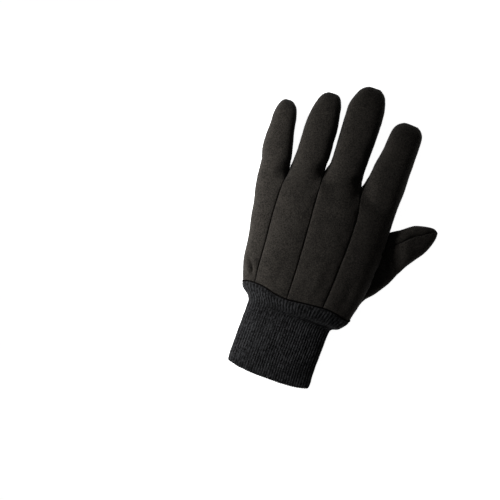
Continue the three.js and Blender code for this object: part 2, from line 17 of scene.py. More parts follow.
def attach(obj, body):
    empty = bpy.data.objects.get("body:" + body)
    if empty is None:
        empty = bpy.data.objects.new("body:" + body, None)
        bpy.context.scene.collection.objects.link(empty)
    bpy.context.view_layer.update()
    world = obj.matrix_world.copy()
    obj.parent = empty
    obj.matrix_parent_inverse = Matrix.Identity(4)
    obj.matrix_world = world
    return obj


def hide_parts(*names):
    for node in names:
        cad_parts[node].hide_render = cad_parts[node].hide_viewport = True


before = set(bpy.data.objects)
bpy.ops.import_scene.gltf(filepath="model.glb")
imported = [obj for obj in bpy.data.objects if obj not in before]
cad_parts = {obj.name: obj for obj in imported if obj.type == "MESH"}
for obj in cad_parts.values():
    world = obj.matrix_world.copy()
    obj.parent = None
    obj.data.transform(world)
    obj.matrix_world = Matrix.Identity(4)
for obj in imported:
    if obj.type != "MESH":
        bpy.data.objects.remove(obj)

logging.basicConfig(level=logging.INFO, format="%(message)s")
LOG = logging.getLogger("glove")
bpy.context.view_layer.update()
BODY = "root"
MM = 0.001

Row = dict[str, float]
Rows = list[np.ndarray]
Colour = tuple[float, float, float]
Value = float | np.ndarray
Socket = bpy.types.NodeSocket
Input = Socket | float | tuple[float, ...]
Inputs = dict[str | int, Input]
TINY = 1e-9


class Face(Enum):
    """The two faces of the glove."""

    BACK = 1
    PALM = -1


class Piece(Enum):
    """The sewn pieces of cloth, named as their nodes are."""

    PALM = "palm_panel"
    MIDDLE = "middle_back"
    RING = "ring_back"
    THUMB = "thumb_panel"
    GUSSET = "thumb_gusset"


@dataclass(frozen=True)
class Sizes:
    """Driving sizes of the glove: lengths in millimetres, angles in radians, shares, and powers of curves.

    They are those of the solids, apart from a finer seam gap and fuller fingers.
    """

    palm_length: float = 114
    palm_width: float = 124
    palm_thickness: float = 22
    finger_thickness: float = 15.5
    thumb_length: float = 49
    thumb_width: float = 31
    thumb_thickness: float = 15
    cuff_length: float = 71
    cuff_width: float = 74
    cuff_thickness: float = 14
    cloth_wall: float = 1.8
    cuff_wall: float = 2.4
    seam_gap: float = 0.16
    strip_crown: float = 1.1
    origin_up: float = 0.42
    thumb_frame_up: float = 0.543
    thumb_frame_out: float = 0.03
    thumb_lean: float = math.radians(45)
    side_level: float = 0.42
    pressed: float = 1.25
    palm_roundness: float = 2.5
    finger_roundness: float = 2.7
    seam_drop: float = math.radians(20)

    @property
    def wrist(self) -> float:
        """Place of the wrist seam along the hand."""
        return -self.origin_up * self.palm_length


@dataclass(frozen=True)
class Finger:
    """One finger: its piece of the back, its length and width, and sections of its outline."""

    back: Piece
    length: float
    width: float
    sections: tuple[tuple[float, float, float], ...]


SIZES = Sizes()
LINES = ("little_edge", "little_ring", "ring_middle", "middle_index", "index_edge")
CROTCH = (0.925, 0.925, 1.0, 0.975, 0.975)


def table(columns: str, *rows: tuple[float, ...]) -> list[Row]:
    """Names the columns of a short table.

    Args:
        columns: the names, with spaces between them.
        rows: one tuple of numbers for each row.

    Returns:
        One dictionary for each row.
    """
    return [dict(zip(columns.split(), row, strict=True)) for row in rows]


PALM_LINES = table(
    "at little_edge little_ring ring_middle middle_index index_edge",
    (0, -0.341, -0.262, -0.015, 0.239, 0.444),
    (0.16, -0.387, -0.277, -0.02, 0.248, 0.476),
    (0.35, -0.413, -0.29, -0.03, 0.253, 0.499),
    (0.56, -0.452, -0.308, -0.044, 0.256, 0.502),
    (0.77, -0.494, -0.315, -0.06, 0.246, 0.495),
    (1, -0.516, -0.298, -0.07, 0.203, 0.492),
)
PALM_SECTIONS = table("at thick", (0, 0.86), (0.4, 1), (0.8, 0.92), (1, 0.81))
TAPER_START, TAPER_ROUNDNESS = 0.58, 2.3
PALM_SEAM = table("at across", (0, 0.16), (0.35, 0.225), (0.64, 0.266), (0.9, 0.302), (1, 0.335))
THUMB_BALL = table(
    "at out up turn",
    (0, 0, 0, 0.05), (0.25, 0.15, 0.3, 0.3), (0.5, 0.52, 0.54, 0.6), (0.75, 0.78, 0.75, 0.85), (1, 1, 1, 1),
)
THUMB_SECTIONS = table(
    "inner_along inner outer_along outer thick",
    (0.445, 0.497, 0.257, -0.465, 0.76),
    (0.65, 0.455, 0.46, -0.41, 0.68),
    (0.785, 0.355, 0.616, -0.36, 0.6),
    (0.89, 0.25, 0.79, -0.245, 0.5),
    (0.967, 0.13, 0.925, -0.115, 0.36),
)
THUMB_ROOT_ACROSS = -0.548
BACK_SEAM, PALM_SIDE_SEAM = math.radians(103), math.radians(-133)
ROOT_BACK_SEAM, ROOT_PALM_SEAM = math.radians(90), math.radians(-120)
CUFF_SECTIONS = table(
    "at thumb_side little_side top",
    (0, 1, 1, 1.06), (0.035, 1, 0.98, 1.13), (0.085, 0.84, 0.7, 1.12), (0.13, 0.66, 0.3, 0.95),
    (0.165, 0.48, 0.1, 0.42), (0.19, 0.14, 0.02, 0.06), (0.24, 0.03, 0, -0.04), (0.5, 0, 0, 0),
    (0.78, -0.02, 0, 0), (0.97, 0.03, -0.03, 0.02), (1, -0.05, -0.12, -0.12),
)
CUFF_SHARES = ("thumb_side", "little_side", "top")
CUFF_MIDDLE, CUFF_CORNER_RISE = 0.038, 0.05
# How far the wrist seam runs above its level on the back, how far along the hand this reaches, the heights
# between which it fades away towards the underside, in millimetres, and how many places it is read at
WRIST_WAVE = table(
    "at rise",
    (-50, 1.2), (-42, 2), (-32, 2.7), (-24, 2.1), (-12, -0.6),
    (-2, -1.4), (14, 0.4), (31, 1.9), (42, 1), (52, -2),
)
WAVE_REACH, WAVE_LOW, WAVE_HIGH, WAVE_STEPS = 9, 6, 14, 120

FINGERS = (
    Finger(Piece.PALM, 54.5, 25, (
        (0.17, -0.425, 1.05), (0.36, -0.44, 0.98), (0.55, -0.45, 0.86), (0.75, -0.459, 0.79),
        (0.9, -0.463, 0.62), (0.965, -0.466, 0.44), (1, -0.468, 0.24),
    )),
    Finger(Piece.RING, 68.5, 28, (
        (0.22, -0.184, 0.99), (0.39, -0.19, 0.97), (0.54, -0.195, 0.98), (0.7, -0.2, 0.91),
        (0.88, -0.2, 0.73), (0.96, -0.198, 0.53), (1, -0.196, 0.3),
    )),
    Finger(Piece.MIDDLE, 82, 31, (
        (0.12, 0.071, 0.97), (0.36, 0.066, 0.98), (0.55, 0.062, 1.02), (0.76, 0.056, 1),
        (0.9, 0.06, 0.8), (0.965, 0.062, 0.58), (1, 0.062, 0.32),
    )),
    Finger(Piece.PALM, 64.5, 30, (
        (0.17, 0.363, 1.08), (0.36, 0.367, 1.02), (0.55, 0.375, 0.95), (0.72, 0.377, 0.92),
        (0.88, 0.381, 0.86), (0.96, 0.383, 0.64), (1, 0.385, 0.36),
    )),
)
LAST = len(FINGERS) - 1

# Folds and puckers of the cloth, in millimetres: from one end to the other, with a depth below the cloth.
# Each one bows by a share of its length.
FOLD_BOW = 0.08
FOLDS = {
    Face.BACK: table(
        "x0 y0 x1 y1 wide depth",
        (-45.8, -26.5, -36.6, -40, 0.95, 3.4), (-47.5, -29, -39.5, -43, 1.5, -0.8),
        (-42, -24, -34, -38, 1.8, -0.4), (16, 71, 26, 63.5, 1.6, 1.3), (18, 73.5, 27.5, 67, 1.8, -0.5),
        (25, 62, 22, 50, 2.6, 0.5), (24, 60, 33, 47, 2.2, 0.5), (-9, 65, -6, 52, 2.4, 0.4),
        (-38, 57, -41, 44, 2.2, 0.8), (-8, 64, -14, 54, 2.2, 0.3),
        (21, 8, 20, -42, 3.4, 0.35), (13, -10, 15, -44, 3.0, -0.5), (45, -14, 43, -44, 4.0, 0.8),
        (-16, -16, -18, -45, 3.6, 0.6), (61, 16.5, 71, 3.5, 1.4, 2.6), (65, 19, 74, 5, 2.2, -0.8),
        (60, 2, 66, -13, 2.6, 1.1), (8, 86, 20, 80, 2.6, 0.5), (-31, 88, -17, 92, 2.4, 0.4),
        (37, 84, 55, 90, 2.8, 0.5),
    ),
    Face.PALM: table(
        "x0 y0 x1 y1 wide depth",
        (22, 60, 16, 22, 3.4, 1.5), (30, 52, 27, 20, 3.2, -0.7), (-8, 63, -5, 34, 3.0, 1.1),
        (-36, 55, -31, 30, 3.0, 0.9), (38, 12, 66, 4, 3.8, 1.6), (31, -2, 44, -14, 2.0, 0.6),
        (27, -14, 40, -24, 2.0, 0.6), (24, -28, 36, -36, 2.0, 0.5), (-20, -26, -24, -45, 3.4, 0.6),
        (2, -24, 3, -45, 3.4, 0.6),
    ),
}


def smooth(value: float, low: float, high: float) -> float:
    """Eases from 0 at low to 1 at high."""
    share = min(max((value - low) / (high - low), 0.0), 1.0)
    return share * share * (3 - 2 * share)


def signed_power(value: Value, power: float) -> Value:
    """Raises the size of a value to a power and keeps its sign."""
    return np.sign(value) * np.abs(value) ** power


def mix(a: Value, b: Value, share: Value) -> Value:
    """Blends from a to b, for numbers or arrays."""
    return a + (b - a) * share


def sample(rows: list[Row], column: str, at: float) -> float:
    """Reads a column of a table at a station, along a smooth curve through its rows.

    Args:
        rows: the table, with a station named at in each row.
        column: the column to read.
        at: the station.

    Returns:
        The value there.
    """
    last = len(rows) - 1
    upper = next((k for k in range(1, last + 1) if at <= rows[k]["at"]), last)

    def slope(k: int) -> float:
        """Slope of the curve at a row."""
        before, after = rows[max(k - 1, 0)], rows[min(k + 1, last)]
        return (after[column] - before[column]) / (after["at"] - before["at"])

    low, high = rows[upper - 1], rows[upper]
    span = high["at"] - low["at"]
    t = min(max((at - low["at"]) / span, 0.0), 1.0)
    bend = t * (1 - t) ** 2 * slope(upper - 1) - t * t * (1 - t) * slope(upper)
    return mix(low[column], high[column], t * t * (3 - 2 * t)) + span * bend


def wave_wrist(points: np.ndarray) -> np.ndarray:
    """Shifts points near the wrist seam so that it runs in a wave over the back.

    Args:
        points: the points, which stay as they are.

    Returns:
        The shifted points.
    """
    stations = np.linspace(WRIST_WAVE[0]["at"], WRIST_WAVE[-1]["at"], WAVE_STEPS)
    rise = np.interp(points[:, 0], stations, [sample(WRIST_WAVE, "rise", at) for at in stations])
    away = (points[:, 1] - SIZES.wrist) / WAVE_REACH
    on_back = np.clip((points[:, 2] - WAVE_LOW) / (WAVE_HIGH - WAVE_LOW), 0, 1)
    shifted = points.copy()
    shifted[:, 1] += rise * on_back * np.exp(-(away**2))
    return shifted


def close_at_ends(count: int, both: bool = True) -> np.ndarray:
    """Gives steps from 0 to 1 that lie close together at the ends, or at the far end alone."""
    steps = np.linspace(0, 1, count + 1)
    return 0.5 - 0.5 * np.cos(np.pi * steps) if both else np.sin(np.pi / 2 * steps)


@dataclass
class HandForm:
    """The hand and its fingers: rows of points across each strip of the back and the palm."""

    size: Sizes = SIZES
    steps: int = 30
    hand_rows: int = 84
    opening_rows: int = 8
    finger_rows: int = 46
    thumb_top: float = 0.587
    crotch_top: float = 0.74
    back_dip: float = 0.16
    palm_dip: float = 0.07
    dip_sharpness: float = 0.6
    nose: float = 2.2
    blend: float = 0.22
    crown_start: float = 0.2
    palm_spread: tuple[float, float] = (0.35, 0.85)
    free_finger: float = 0.16
    drop_in: float = 0.3
    drop_out: float = 0.1
    knuckle: float = 2.0
    knuckle_reach: float = 0.6
    rows: np.ndarray = field(init=False)
    across: np.ndarray = field(init=False)

    def __post_init__(self) -> None:
        """Lays out the rows, with one at each corner of the thumb's opening."""
        half = self.hand_rows // 2
        low = close_at_ends(half) * self.thumb_top
        middle = mix(self.thumb_top, self.crotch_top, np.linspace(0, 1, self.opening_rows + 1)[1:])
        high = mix(self.crotch_top, 1, close_at_ends(half, both=False)[1:])
        self.rows = np.concatenate([low, middle, high])
        self.top_row, self.crotch_row = len(low) - 1, len(low) + len(middle) - 1
        self.across = close_at_ends(self.steps)

    @property
    def finger_side(self) -> float:
        """Height of a finger's widest line."""
        return self.size.side_level * self.size.finger_thickness

    def thickness(self, up: float) -> float:
        """Thickness of the hand at a share of the way up."""
        return self.size.palm_thickness * sample(PALM_SECTIONS, "thick", up)

    def side(self, up: float) -> float:
        """Height of the hand's outer edges."""
        return mix(self.size.side_level * self.thickness(up), self.finger_side, up**3)

    def line(self, number: int, up: float) -> float:
        """Place across the hand of one of its five lines."""
        return self.size.palm_width * sample(PALM_LINES, LINES[number], up * CROTCH[number])

    def lines(self, up: float) -> np.ndarray:
        """Places of all five lines."""
        return np.array([self.line(number, up) for number in range(len(LINES))])

    def height_along(self, up: float, x: Value) -> Value:
        """Place along the hand of a row, at places across it."""
        crotch = np.interp(x, self.lines(up), CROTCH)
        return (up * crotch - self.size.origin_up) * self.size.palm_length

    def section(self, up: float, angle: Value) -> np.ndarray:
        """Places points on the hand's rounded section.

        Args:
            up: share of the way up the hand.
            angle: angle round the section, 0 at the index edge and half a turn at the little edge.

        Returns:
            The point, or one for each angle.
        """
        left, right = self.line(0, up), self.line(4, up)
        power = 2 / self.size.palm_roundness
        x = (left + right) / 2 + (right - left) / 2 * signed_power(np.cos(angle), power)
        rise = np.abs(np.sin(angle)) ** power
        side = self.side(up)
        under = np.maximum(0, side * (1 - self.size.pressed * rise))
        z = np.where(np.sin(angle) >= 0, mix(side, self.thickness(up), rise), under)
        return np.stack([x, self.height_along(up, x), z], axis=-1)

    def angle(self, up: float, x: float) -> float:
        """Finds the angle round the section at a place across the hand.

        Args:
            up: share of the way up the hand.
            x: the place.

        Returns:
            The angle on the back.
        """
        left, right = self.line(0, up), self.line(4, up)
        share = min(max((x - (left + right) / 2) / ((right - left) / 2), -1.0), 1.0)
        return math.acos(min(max(signed_power(share, self.size.palm_roundness / 2), -1.0), 1.0))

    def dip(self, strip: int, up: float, length: float) -> np.ndarray:
        """How far a strip has closed into its finger: along a round nose at a crotch, and gently elsewhere.

        Args:
            strip: the strip's number, from the little finger.
            up: share of the way up the hand.
            length: share of the hand over which the nose runs.

        Returns:
            A share for each step across the strip, as a column.
        """
        share = min(max((up - 1 + length) / length, 0.0), 1.0)
        nose, gentle = share**self.nose, smooth(up, 1 - self.blend, 1)
        u = self.across
        crotch = 1 - 4 * u * (1 - u)
        crotch = np.where((u - 0.5) * outer_side(strip) > 0, 0, crotch)
        return mix(gentle, nose, crotch)[:, None]

    def arch(self, left: np.ndarray, right: np.ndarray, height: float, outer: int) -> np.ndarray:
        """A strip's arch over its finger's root: steep at a crotch and round on an outer side.

        Args:
            left: its little side's end.
            right: its index side's end.
            height: how far its middle stands above its ends.
            outer: -1 or 1 for a strip whose little or index side is an outer edge, else 0.

        Returns:
            The row of points.
        """
        u = self.across
        turn = np.pi * (1 - u)
        round_side = (u - 0.5) * outer > 0
        power = 2 / self.size.finger_roundness
        share = np.where(round_side, (1 + signed_power(np.cos(turn), power)) / 2, u)
        steep = (4 * u * (1 - u)) ** self.dip_sharpness
        rise = np.where(round_side, np.abs(np.sin(turn)) ** power, steep)
        points = left + (right - left) * share[:, None]
        points[:, 2] = np.maximum(0, points[:, 2] + height * rise)
        return points

    def root_end(self, number: int, up: float, x: float) -> np.ndarray:
        """Where a line ends at the finger's root."""
        z = self.side(up) if number in (0, len(FINGERS)) else self.finger_side
        return np.array([x, float(self.height_along(up, x)), z])

    def back_row(self, strip: int, up: float) -> np.ndarray:
        """Makes one row of a strip of the back.

        Args:
            strip: the strip's number, from the little finger.
            up: share of the way up the hand.

        Returns:
            The row of points, from its little side.
        """
        left, right = self.line(strip, up), self.line(strip + 1, up)
        cloth = self.section(up, mix(self.angle(up, left), self.angle(up, right), self.across))
        u = self.across
        cloth[:, 2] += self.size.strip_crown * 4 * u * (1 - u) * smooth(up, 0, self.crown_start)
        height = self.size.finger_thickness - self.finger_side + self.knuckle
        arch = self.arch(
            self.root_end(strip, up, left), self.root_end(strip + 1, up, right), height, outer_side(strip)
        )
        return mix(cloth, arch, self.dip(strip, up, self.back_dip))

    def palm_edge(self, up: float) -> float:
        """Finds the palm piece's thumb side: the palm seam, the thumb's opening or the index edge.

        Args:
            up: share of the way up the hand.

        Returns:
            Its place across the hand.
        """
        edge = self.line(4, up)
        if up >= self.crotch_top:
            return edge
        seam = self.size.palm_width * sample(PALM_SEAM, "across", min(up / self.thumb_top, 1))
        share = (up - self.thumb_top) / (self.crotch_top - self.thumb_top)
        return seam if up <= self.thumb_top else mix(seam, edge, share)

    def palm_line(self, number: int, up: float) -> float:
        """Finds one of the lines that divide the palm into a strip for each finger.

        Args:
            number: the line's number, from the little edge.
            up: share of the way up the hand.

        Returns:
            Its place across the hand.
        """
        if number == 0:
            return self.line(0, up)
        if number == len(FINGERS):
            return self.palm_edge(up)
        even = mix(self.line(0, up), self.palm_edge(up), number / len(FINGERS))
        return mix(even, self.line(number, up), smooth(up, *self.palm_spread))

    def palm_row(self, strip: int, up: float) -> np.ndarray:
        """Makes one row of the palm, under one finger.

        Args:
            strip: the finger's number, from the little finger.
            up: share of the way up the hand.

        Returns:
            The row of points, from its little side.
        """
        left, right = self.palm_line(strip, up), self.palm_line(strip + 1, up)
        cloth = self.section(up, -mix(self.angle(up, left), self.angle(up, right), self.across))
        height = -self.size.pressed * self.finger_side
        arch = self.arch(
            self.root_end(strip, up, left), self.root_end(strip + 1, up, right), height, outer_side(strip)
        )
        return mix(cloth, arch, self.dip(strip, up, self.palm_dip))

    def finger(self, strip: int, face: Face, root: np.ndarray) -> Rows:
        """Rows of one face of a finger, above its root.

        Args:
            strip: the finger's number, from the little finger.
            face: its back or its palm side.
            root: the row that it grows from.

        Returns:
            The rows, the last one on the seam over the tip.
        """
        finger, power = FINGERS[strip], 2 / self.size.finger_roundness
        low, high = root[0], root[-1]
        tip = (low[1] + high[1]) / 2 + finger.length
        edges = [{"at": 0.0, "left": low[0], "right": high[0]}]
        for at, middle, wide in finger.sections:
            centre, half = middle * self.size.palm_width, finger.width * wide / 2
            edges.append({"at": at, "left": centre - half, "right": centre + half})
        rows = []
        for along in close_at_ends(self.finger_rows, both=False)[1:]:
            left = np.array([sample(edges, "left", along), mix(low[1], tip, along), self.finger_side])
            right = np.array([sample(edges, "right", along), mix(high[1], tip, along), self.finger_side])
            taper = max(along - TAPER_START, 0) / (1 - TAPER_START)
            full = (1 - min(taper, 1) ** TAPER_ROUNDNESS) ** (1 / TAPER_ROUNDNESS)
            drop = self.size.seam_drop * smooth(along, 0, self.drop_in) * smooth(1 - along, 0, self.drop_out)
            knuckle = self.knuckle * (1 - smooth(along, 0, self.knuckle_reach))
            upper = (self.size.finger_thickness - self.finger_side + knuckle) * full
            lower = -self.size.pressed * self.finger_side * full
            if face is Face.BACK:
                turn, height = np.pi + drop - self.across * (np.pi + 2 * drop), upper
            else:
                turn, height = np.pi + drop + self.across * (np.pi - 2 * drop), lower
            rise = np.abs(np.sin(turn)) ** power
            ring = left + (right - left) * ((1 + signed_power(np.cos(turn), power)) / 2)[:, None]
            ring[:, 2] = np.maximum(0, ring[:, 2] + rise * np.where(np.sin(turn) > 0, upper, lower))
            arch = self.arch(left, right, height, outer_side(strip))
            rows.append(mix(arch, ring, smooth(along, 0, self.free_finger)))
        return rows


def outer_side(strip: int) -> int:
    """Tells which side of a strip is an outer edge of the hand: -1, 0 or 1."""
    return -1 if strip == 0 else int(strip == LAST)


def run_along(sections: list[np.ndarray], skipped: int, stations: np.ndarray) -> Rows:
    """Runs smooth curves through sections, one for each column, and reads rows off them.

    Args:
        sections: the rows that the curves pass through.
        skipped: how many of the first spans come before the first station.
        stations: places along the curves, one unit for each span.

    Returns:
        The rows.
    """
    padded = [2 * sections[0] - sections[1], *sections, 2 * sections[-1] - sections[-2]]
    rows = []
    for station in stations + skipped:
        k = min(int(station), len(sections) - 2)
        t = station - k
        p0, p1, p2, p3 = padded[k : k + 4]
        square, cube = (2 * p0 - 5 * p1 + 4 * p2 - p3) * t**2, (3 * p1 - p0 - 3 * p2 + p3) * t**3
        point = 0.5 * (2 * p1 + (p2 - p0) * t + square + cube)
        point[:, 2] = np.maximum(0, point[:, 2])
        rows.append(point)
    return rows


@dataclass
class ThumbForm:
    """The piece round the ball of the thumb and the thumb, and the strip between its seams."""

    hand: HandForm
    steps: int = 54
    rows_per_span: int = 9
    tip_stations: tuple[float, ...] = (5.2, 5.4, 5.6, 5.78, 5.9)
    run_in: float = 14.0
    ball_blend: float = 0.5

    def __post_init__(self) -> None:
        """Places the thumb's own frame beside the hand."""
        size = self.hand.size
        self.root = np.array([
            self.hand.line(4, self.hand.thumb_top) + size.thumb_frame_out * size.palm_width,
            (size.thumb_frame_up - size.origin_up) * size.palm_length,
        ])
        self.side = size.side_level * size.thumb_thickness
        spans = len(THUMB_SECTIONS)
        even = np.linspace(0, spans, spans * self.rows_per_span + 1)[1:]
        self.stations = np.concatenate([even, self.tip_stations])

    def place(self, along: float, across: float) -> np.ndarray:
        """Places a point in the thumb's frame, as seen from above.

        Args:
            along: share of the thumb's length, from its root.
            across: share of its width, from its middle line towards the index finger.

        Returns:
            The point's place across and along the hand.
        """
        size = self.hand.size
        a, b = along * size.thumb_length, across * size.thumb_width
        cos, sin = math.cos(size.thumb_lean), math.sin(size.thumb_lean)
        return self.root + np.array([a * cos - b * sin, a * sin + b * cos])

    def round_section(
        self, middle: np.ndarray, reach: np.ndarray, angles: np.ndarray, full: float
    ) -> np.ndarray:
        """Makes a rounded section.

        Args:
            middle: its middle, as seen from above.
            reach: the way from its middle to its outer edge, where the angle is 0.
            angles: the angles of its points.
            full: share of the thumb's thickness that it has.

        Returns:
            The points.
        """
        size, power = self.hand.size, 2 / self.hand.size.finger_roundness
        flat = middle + reach * signed_power(np.cos(angles), power)[:, None]
        rise = np.abs(np.sin(angles)) ** power * full
        upper, lower = (size.thumb_thickness - self.side) * rise, -size.pressed * self.side * rise
        z = np.maximum(0, self.side + np.where(np.sin(angles) > 0, upper, lower))
        return np.column_stack([flat, z])

    def ball_row(self, up: float, back: np.ndarray, palm: np.ndarray) -> np.ndarray:
        """Makes one row round the ball of the thumb, from the index edge to the palm seam.

        Args:
            up: share of the way up the hand.
            back: the point where the row meets the back.
            palm: the point where it meets the palm.

        Returns:
            The row of points.
        """
        at, wrist = up / self.hand.thumb_top, self.hand.section(0, 0.0)
        root = self.place(0, THUMB_ROOT_ACROSS)
        outer = np.array([
            mix(wrist[0], root[0], sample(THUMB_BALL, "out", at)),
            mix(wrist[1], root[1], sample(THUMB_BALL, "up", at)),
        ])
        bend = 1 - signed_power(math.cos(ROOT_PALM_SEAM), 2 / self.hand.size.finger_roundness)
        reach = (outer - palm[:2]) / bend
        middle = outer - reach
        start = ROOT_BACK_SEAM * sample(THUMB_BALL, "turn", at)
        u = close_at_ends(self.steps)
        ring = self.round_section(middle, reach, mix(start, ROOT_PALM_SEAM, u), 1)
        ring = ring + (back - ring[0]) * ((1 - u) ** 2)[:, None]
        ring[:, 2] = np.maximum(0, ring[:, 2])
        flat = self.hand.section(up, -self.hand.angle(up, palm[0]) * u)
        row = mix(flat, ring, smooth(at, 0, self.ball_blend))
        row[0], row[-1] = back, palm
        return row

    def thumb_section(self, section: Row, angles: np.ndarray) -> np.ndarray:
        """Places points round one section of the thumb.

        Args:
            section: the section's row in the table.
            angles: the points' angles.

        Returns:
            The points.
        """
        near = self.place(section["inner_along"], section["inner"])
        far = self.place(section["outer_along"], section["outer"])
        return self.round_section((near + far) / 2, (far - near) / 2, angles, section["thick"])

    def build(self, back: Rows, palm: Rows) -> tuple[Rows, Rows]:
        """Makes the thumb piece and the strip between its seams.

        Args:
            back: rows of the index strip of the back.
            palm: rows of the palm under the index finger.

        Returns:
            The rows of the thumb piece and those of the strip.
        """
        hand = self.hand
        top, crotch = hand.top_row, hand.crotch_row
        ball = [self.ball_row(up, back[k][-1], palm[k][-1]) for k, up in enumerate(hand.rows[: top + 1])]
        tip = np.append(self.place(1, 0), self.side)
        angles = mix(BACK_SEAM, PALM_SIDE_SEAM, close_at_ends(self.steps))
        controls = [2 * ball[-1] - run_step(ball, self.run_in), *self.controls(ball[-1], angles, tip)]
        panel = run_along(controls, 1, self.stations)
        panel.append(controls[-1].copy())
        root = [back[k][-1] for k in range(top, crotch + 1)]
        root += [palm[k][-1] for k in range(crotch - 1, top - 1, -1)]
        half = len(root) // 2
        seam = PALM_SIDE_SEAM + 2 * math.pi
        angles = np.concatenate([
            np.linspace(BACK_SEAM, math.pi, half + 1), np.linspace(math.pi, seam, half + 1)[1:]
        ])
        controls = self.controls(np.array(root), angles, tip)
        gusset = run_along(controls, 0, self.stations)
        for row, edge in zip(gusset, panel):
            row += (edge[0] - row[0]) * np.linspace(1, 0, len(root))[:, None] ** 2
            row += (edge[-1] - row[-1]) * np.linspace(0, 1, len(root))[:, None] ** 2
            row[0], row[-1] = edge[0], edge[-1]
        gusset.append(controls[-1].copy())
        return ball + panel, [np.array(root), *gusset]

    def controls(self, root: np.ndarray, angles: np.ndarray, tip: np.ndarray) -> list[np.ndarray]:
        """Sections that the curves of a piece of the thumb pass through, from its root to its tip."""
        sections = [self.thumb_section(section, angles) for section in THUMB_SECTIONS]
        return [root, *sections, np.tile(tip, (len(angles), 1))]


def run_step(rows: Rows, length: float, back: int = 5) -> np.ndarray:
    """Moves the last row on in the direction that the rows have there.

    Args:
        rows: the rows.
        length: how far to move it.
        back: how many rows earlier the direction is measured from.

    Returns:
        The moved row.
    """
    step = rows[-1] - rows[-1 - back]
    size = np.linalg.norm(step, axis=1, keepdims=True)
    return rows[-1] + step / np.maximum(size, TINY) * length


Key = tuple[int, int, int]
KEY_STEPS = 1e4


def key(point: np.ndarray) -> Key:
    """Names a place by whole steps along each axis, so that sheets that meet there can be joined."""
    return tuple(int(round(value * KEY_STEPS)) for value in point)


@dataclass
class Sheet:
    """A grid of points that belongs to one piece."""

    piece: Piece
    rows: Rows
    turned: bool
    face: Face
    apart: set[tuple[int, int]] = field(default_factory=set)


class Skin:
    """The whole outer surface of the glove, and the pieces that are cut from it."""

    def __init__(self, hand: HandForm, thumb: ThumbForm) -> None:
        """Builds every sheet of the surface.

        Args:
            hand: the form of the hand and its fingers.
            thumb: the form of the thumb.
        """
        self.sheets: list[Sheet] = []
        self.hand = hand
        backs = [[hand.back_row(k, up) for up in hand.rows] for k in range(len(FINGERS))]
        palms = [[hand.palm_row(k, up) for up in hand.rows] for k in range(len(FINGERS))]
        count = len(hand.rows)
        for k, finger in enumerate(FINGERS):
            if k:
                for row in range(count):
                    backs[k][row][0], palms[k][row][0] = backs[k - 1][row][-1], palms[k - 1][row][-1]
            for row in range(count):
                if k == 0 or row == count - 1:
                    palms[k][row][0] = backs[k][row][0]
                if (k == LAST and row >= hand.crotch_row) or row == count - 1:
                    palms[k][row][-1] = backs[k][row][-1]
            backs[k] += hand.finger(k, Face.BACK, backs[k][-1])
            palms[k] += hand.finger(k, Face.PALM, palms[k][-1])
            for row in range(count, len(backs[k])):
                palms[k][row][0], palms[k][row][-1] = backs[k][row][0], backs[k][row][-1]
            palms[k][-1] = backs[k][-1].copy()
            apart: set[tuple[int, int]] = set()
            if finger.back is Piece.PALM:
                inner, outer = (hand.steps, 0) if k == 0 else (0, hand.steps)
                apart = {(row, inner) for row in range(count - 1, len(backs[k]))}
                apart |= {(len(backs[k]) - 1, step) for step in range(hand.steps + 1) if step != outer}
            self.sheets.append(Sheet(finger.back, backs[k], False, Face.BACK, apart))
            self.sheets.append(Sheet(Piece.PALM, palms[k], True, Face.PALM))
        panel, gusset = thumb.build(backs[LAST], palms[LAST])
        self.sheets.append(Sheet(Piece.THUMB, panel, False, Face.BACK))
        self.sheets.append(Sheet(Piece.GUSSET, gusset, True, Face.BACK))
        self.outward = self.directions()

    @staticmethod
    def quads(sheet: Sheet) -> list[tuple[tuple[int, int], ...]]:
        """Lists the faces of a sheet, turned outwards.

        Args:
            sheet: the sheet.

        Returns:
            The corners of each face, as places in the sheet's grid.
        """
        rows, columns = len(sheet.rows), len(sheet.rows[0])
        faces = []
        for r in range(1, rows):
            for c in range(1, columns):
                face = ((r - 1, c - 1), (r - 1, c), (r, c), (r, c - 1))
                faces.append(face[::-1] if sheet.turned else face)
        return faces

    def directions(self) -> dict[Key, np.ndarray]:
        """Works out the outward directions, which are the same for all pieces that meet at a place.

        Returns:
            The direction at every place of the surface.
        """
        total: dict[Key, np.ndarray] = {}
        for sheet in self.sheets:
            for face in self.quads(sheet):
                a, b, c, d = (sheet.rows[r][k] for r, k in face)
                area = np.cross(c - a, d - b)
                for point in {key(p): p for p in (a, b, c, d)}:
                    total[point] = total.get(point, 0) + area
        return {place: value / max(float(np.linalg.norm(value)), TINY) for place, value in total.items()}


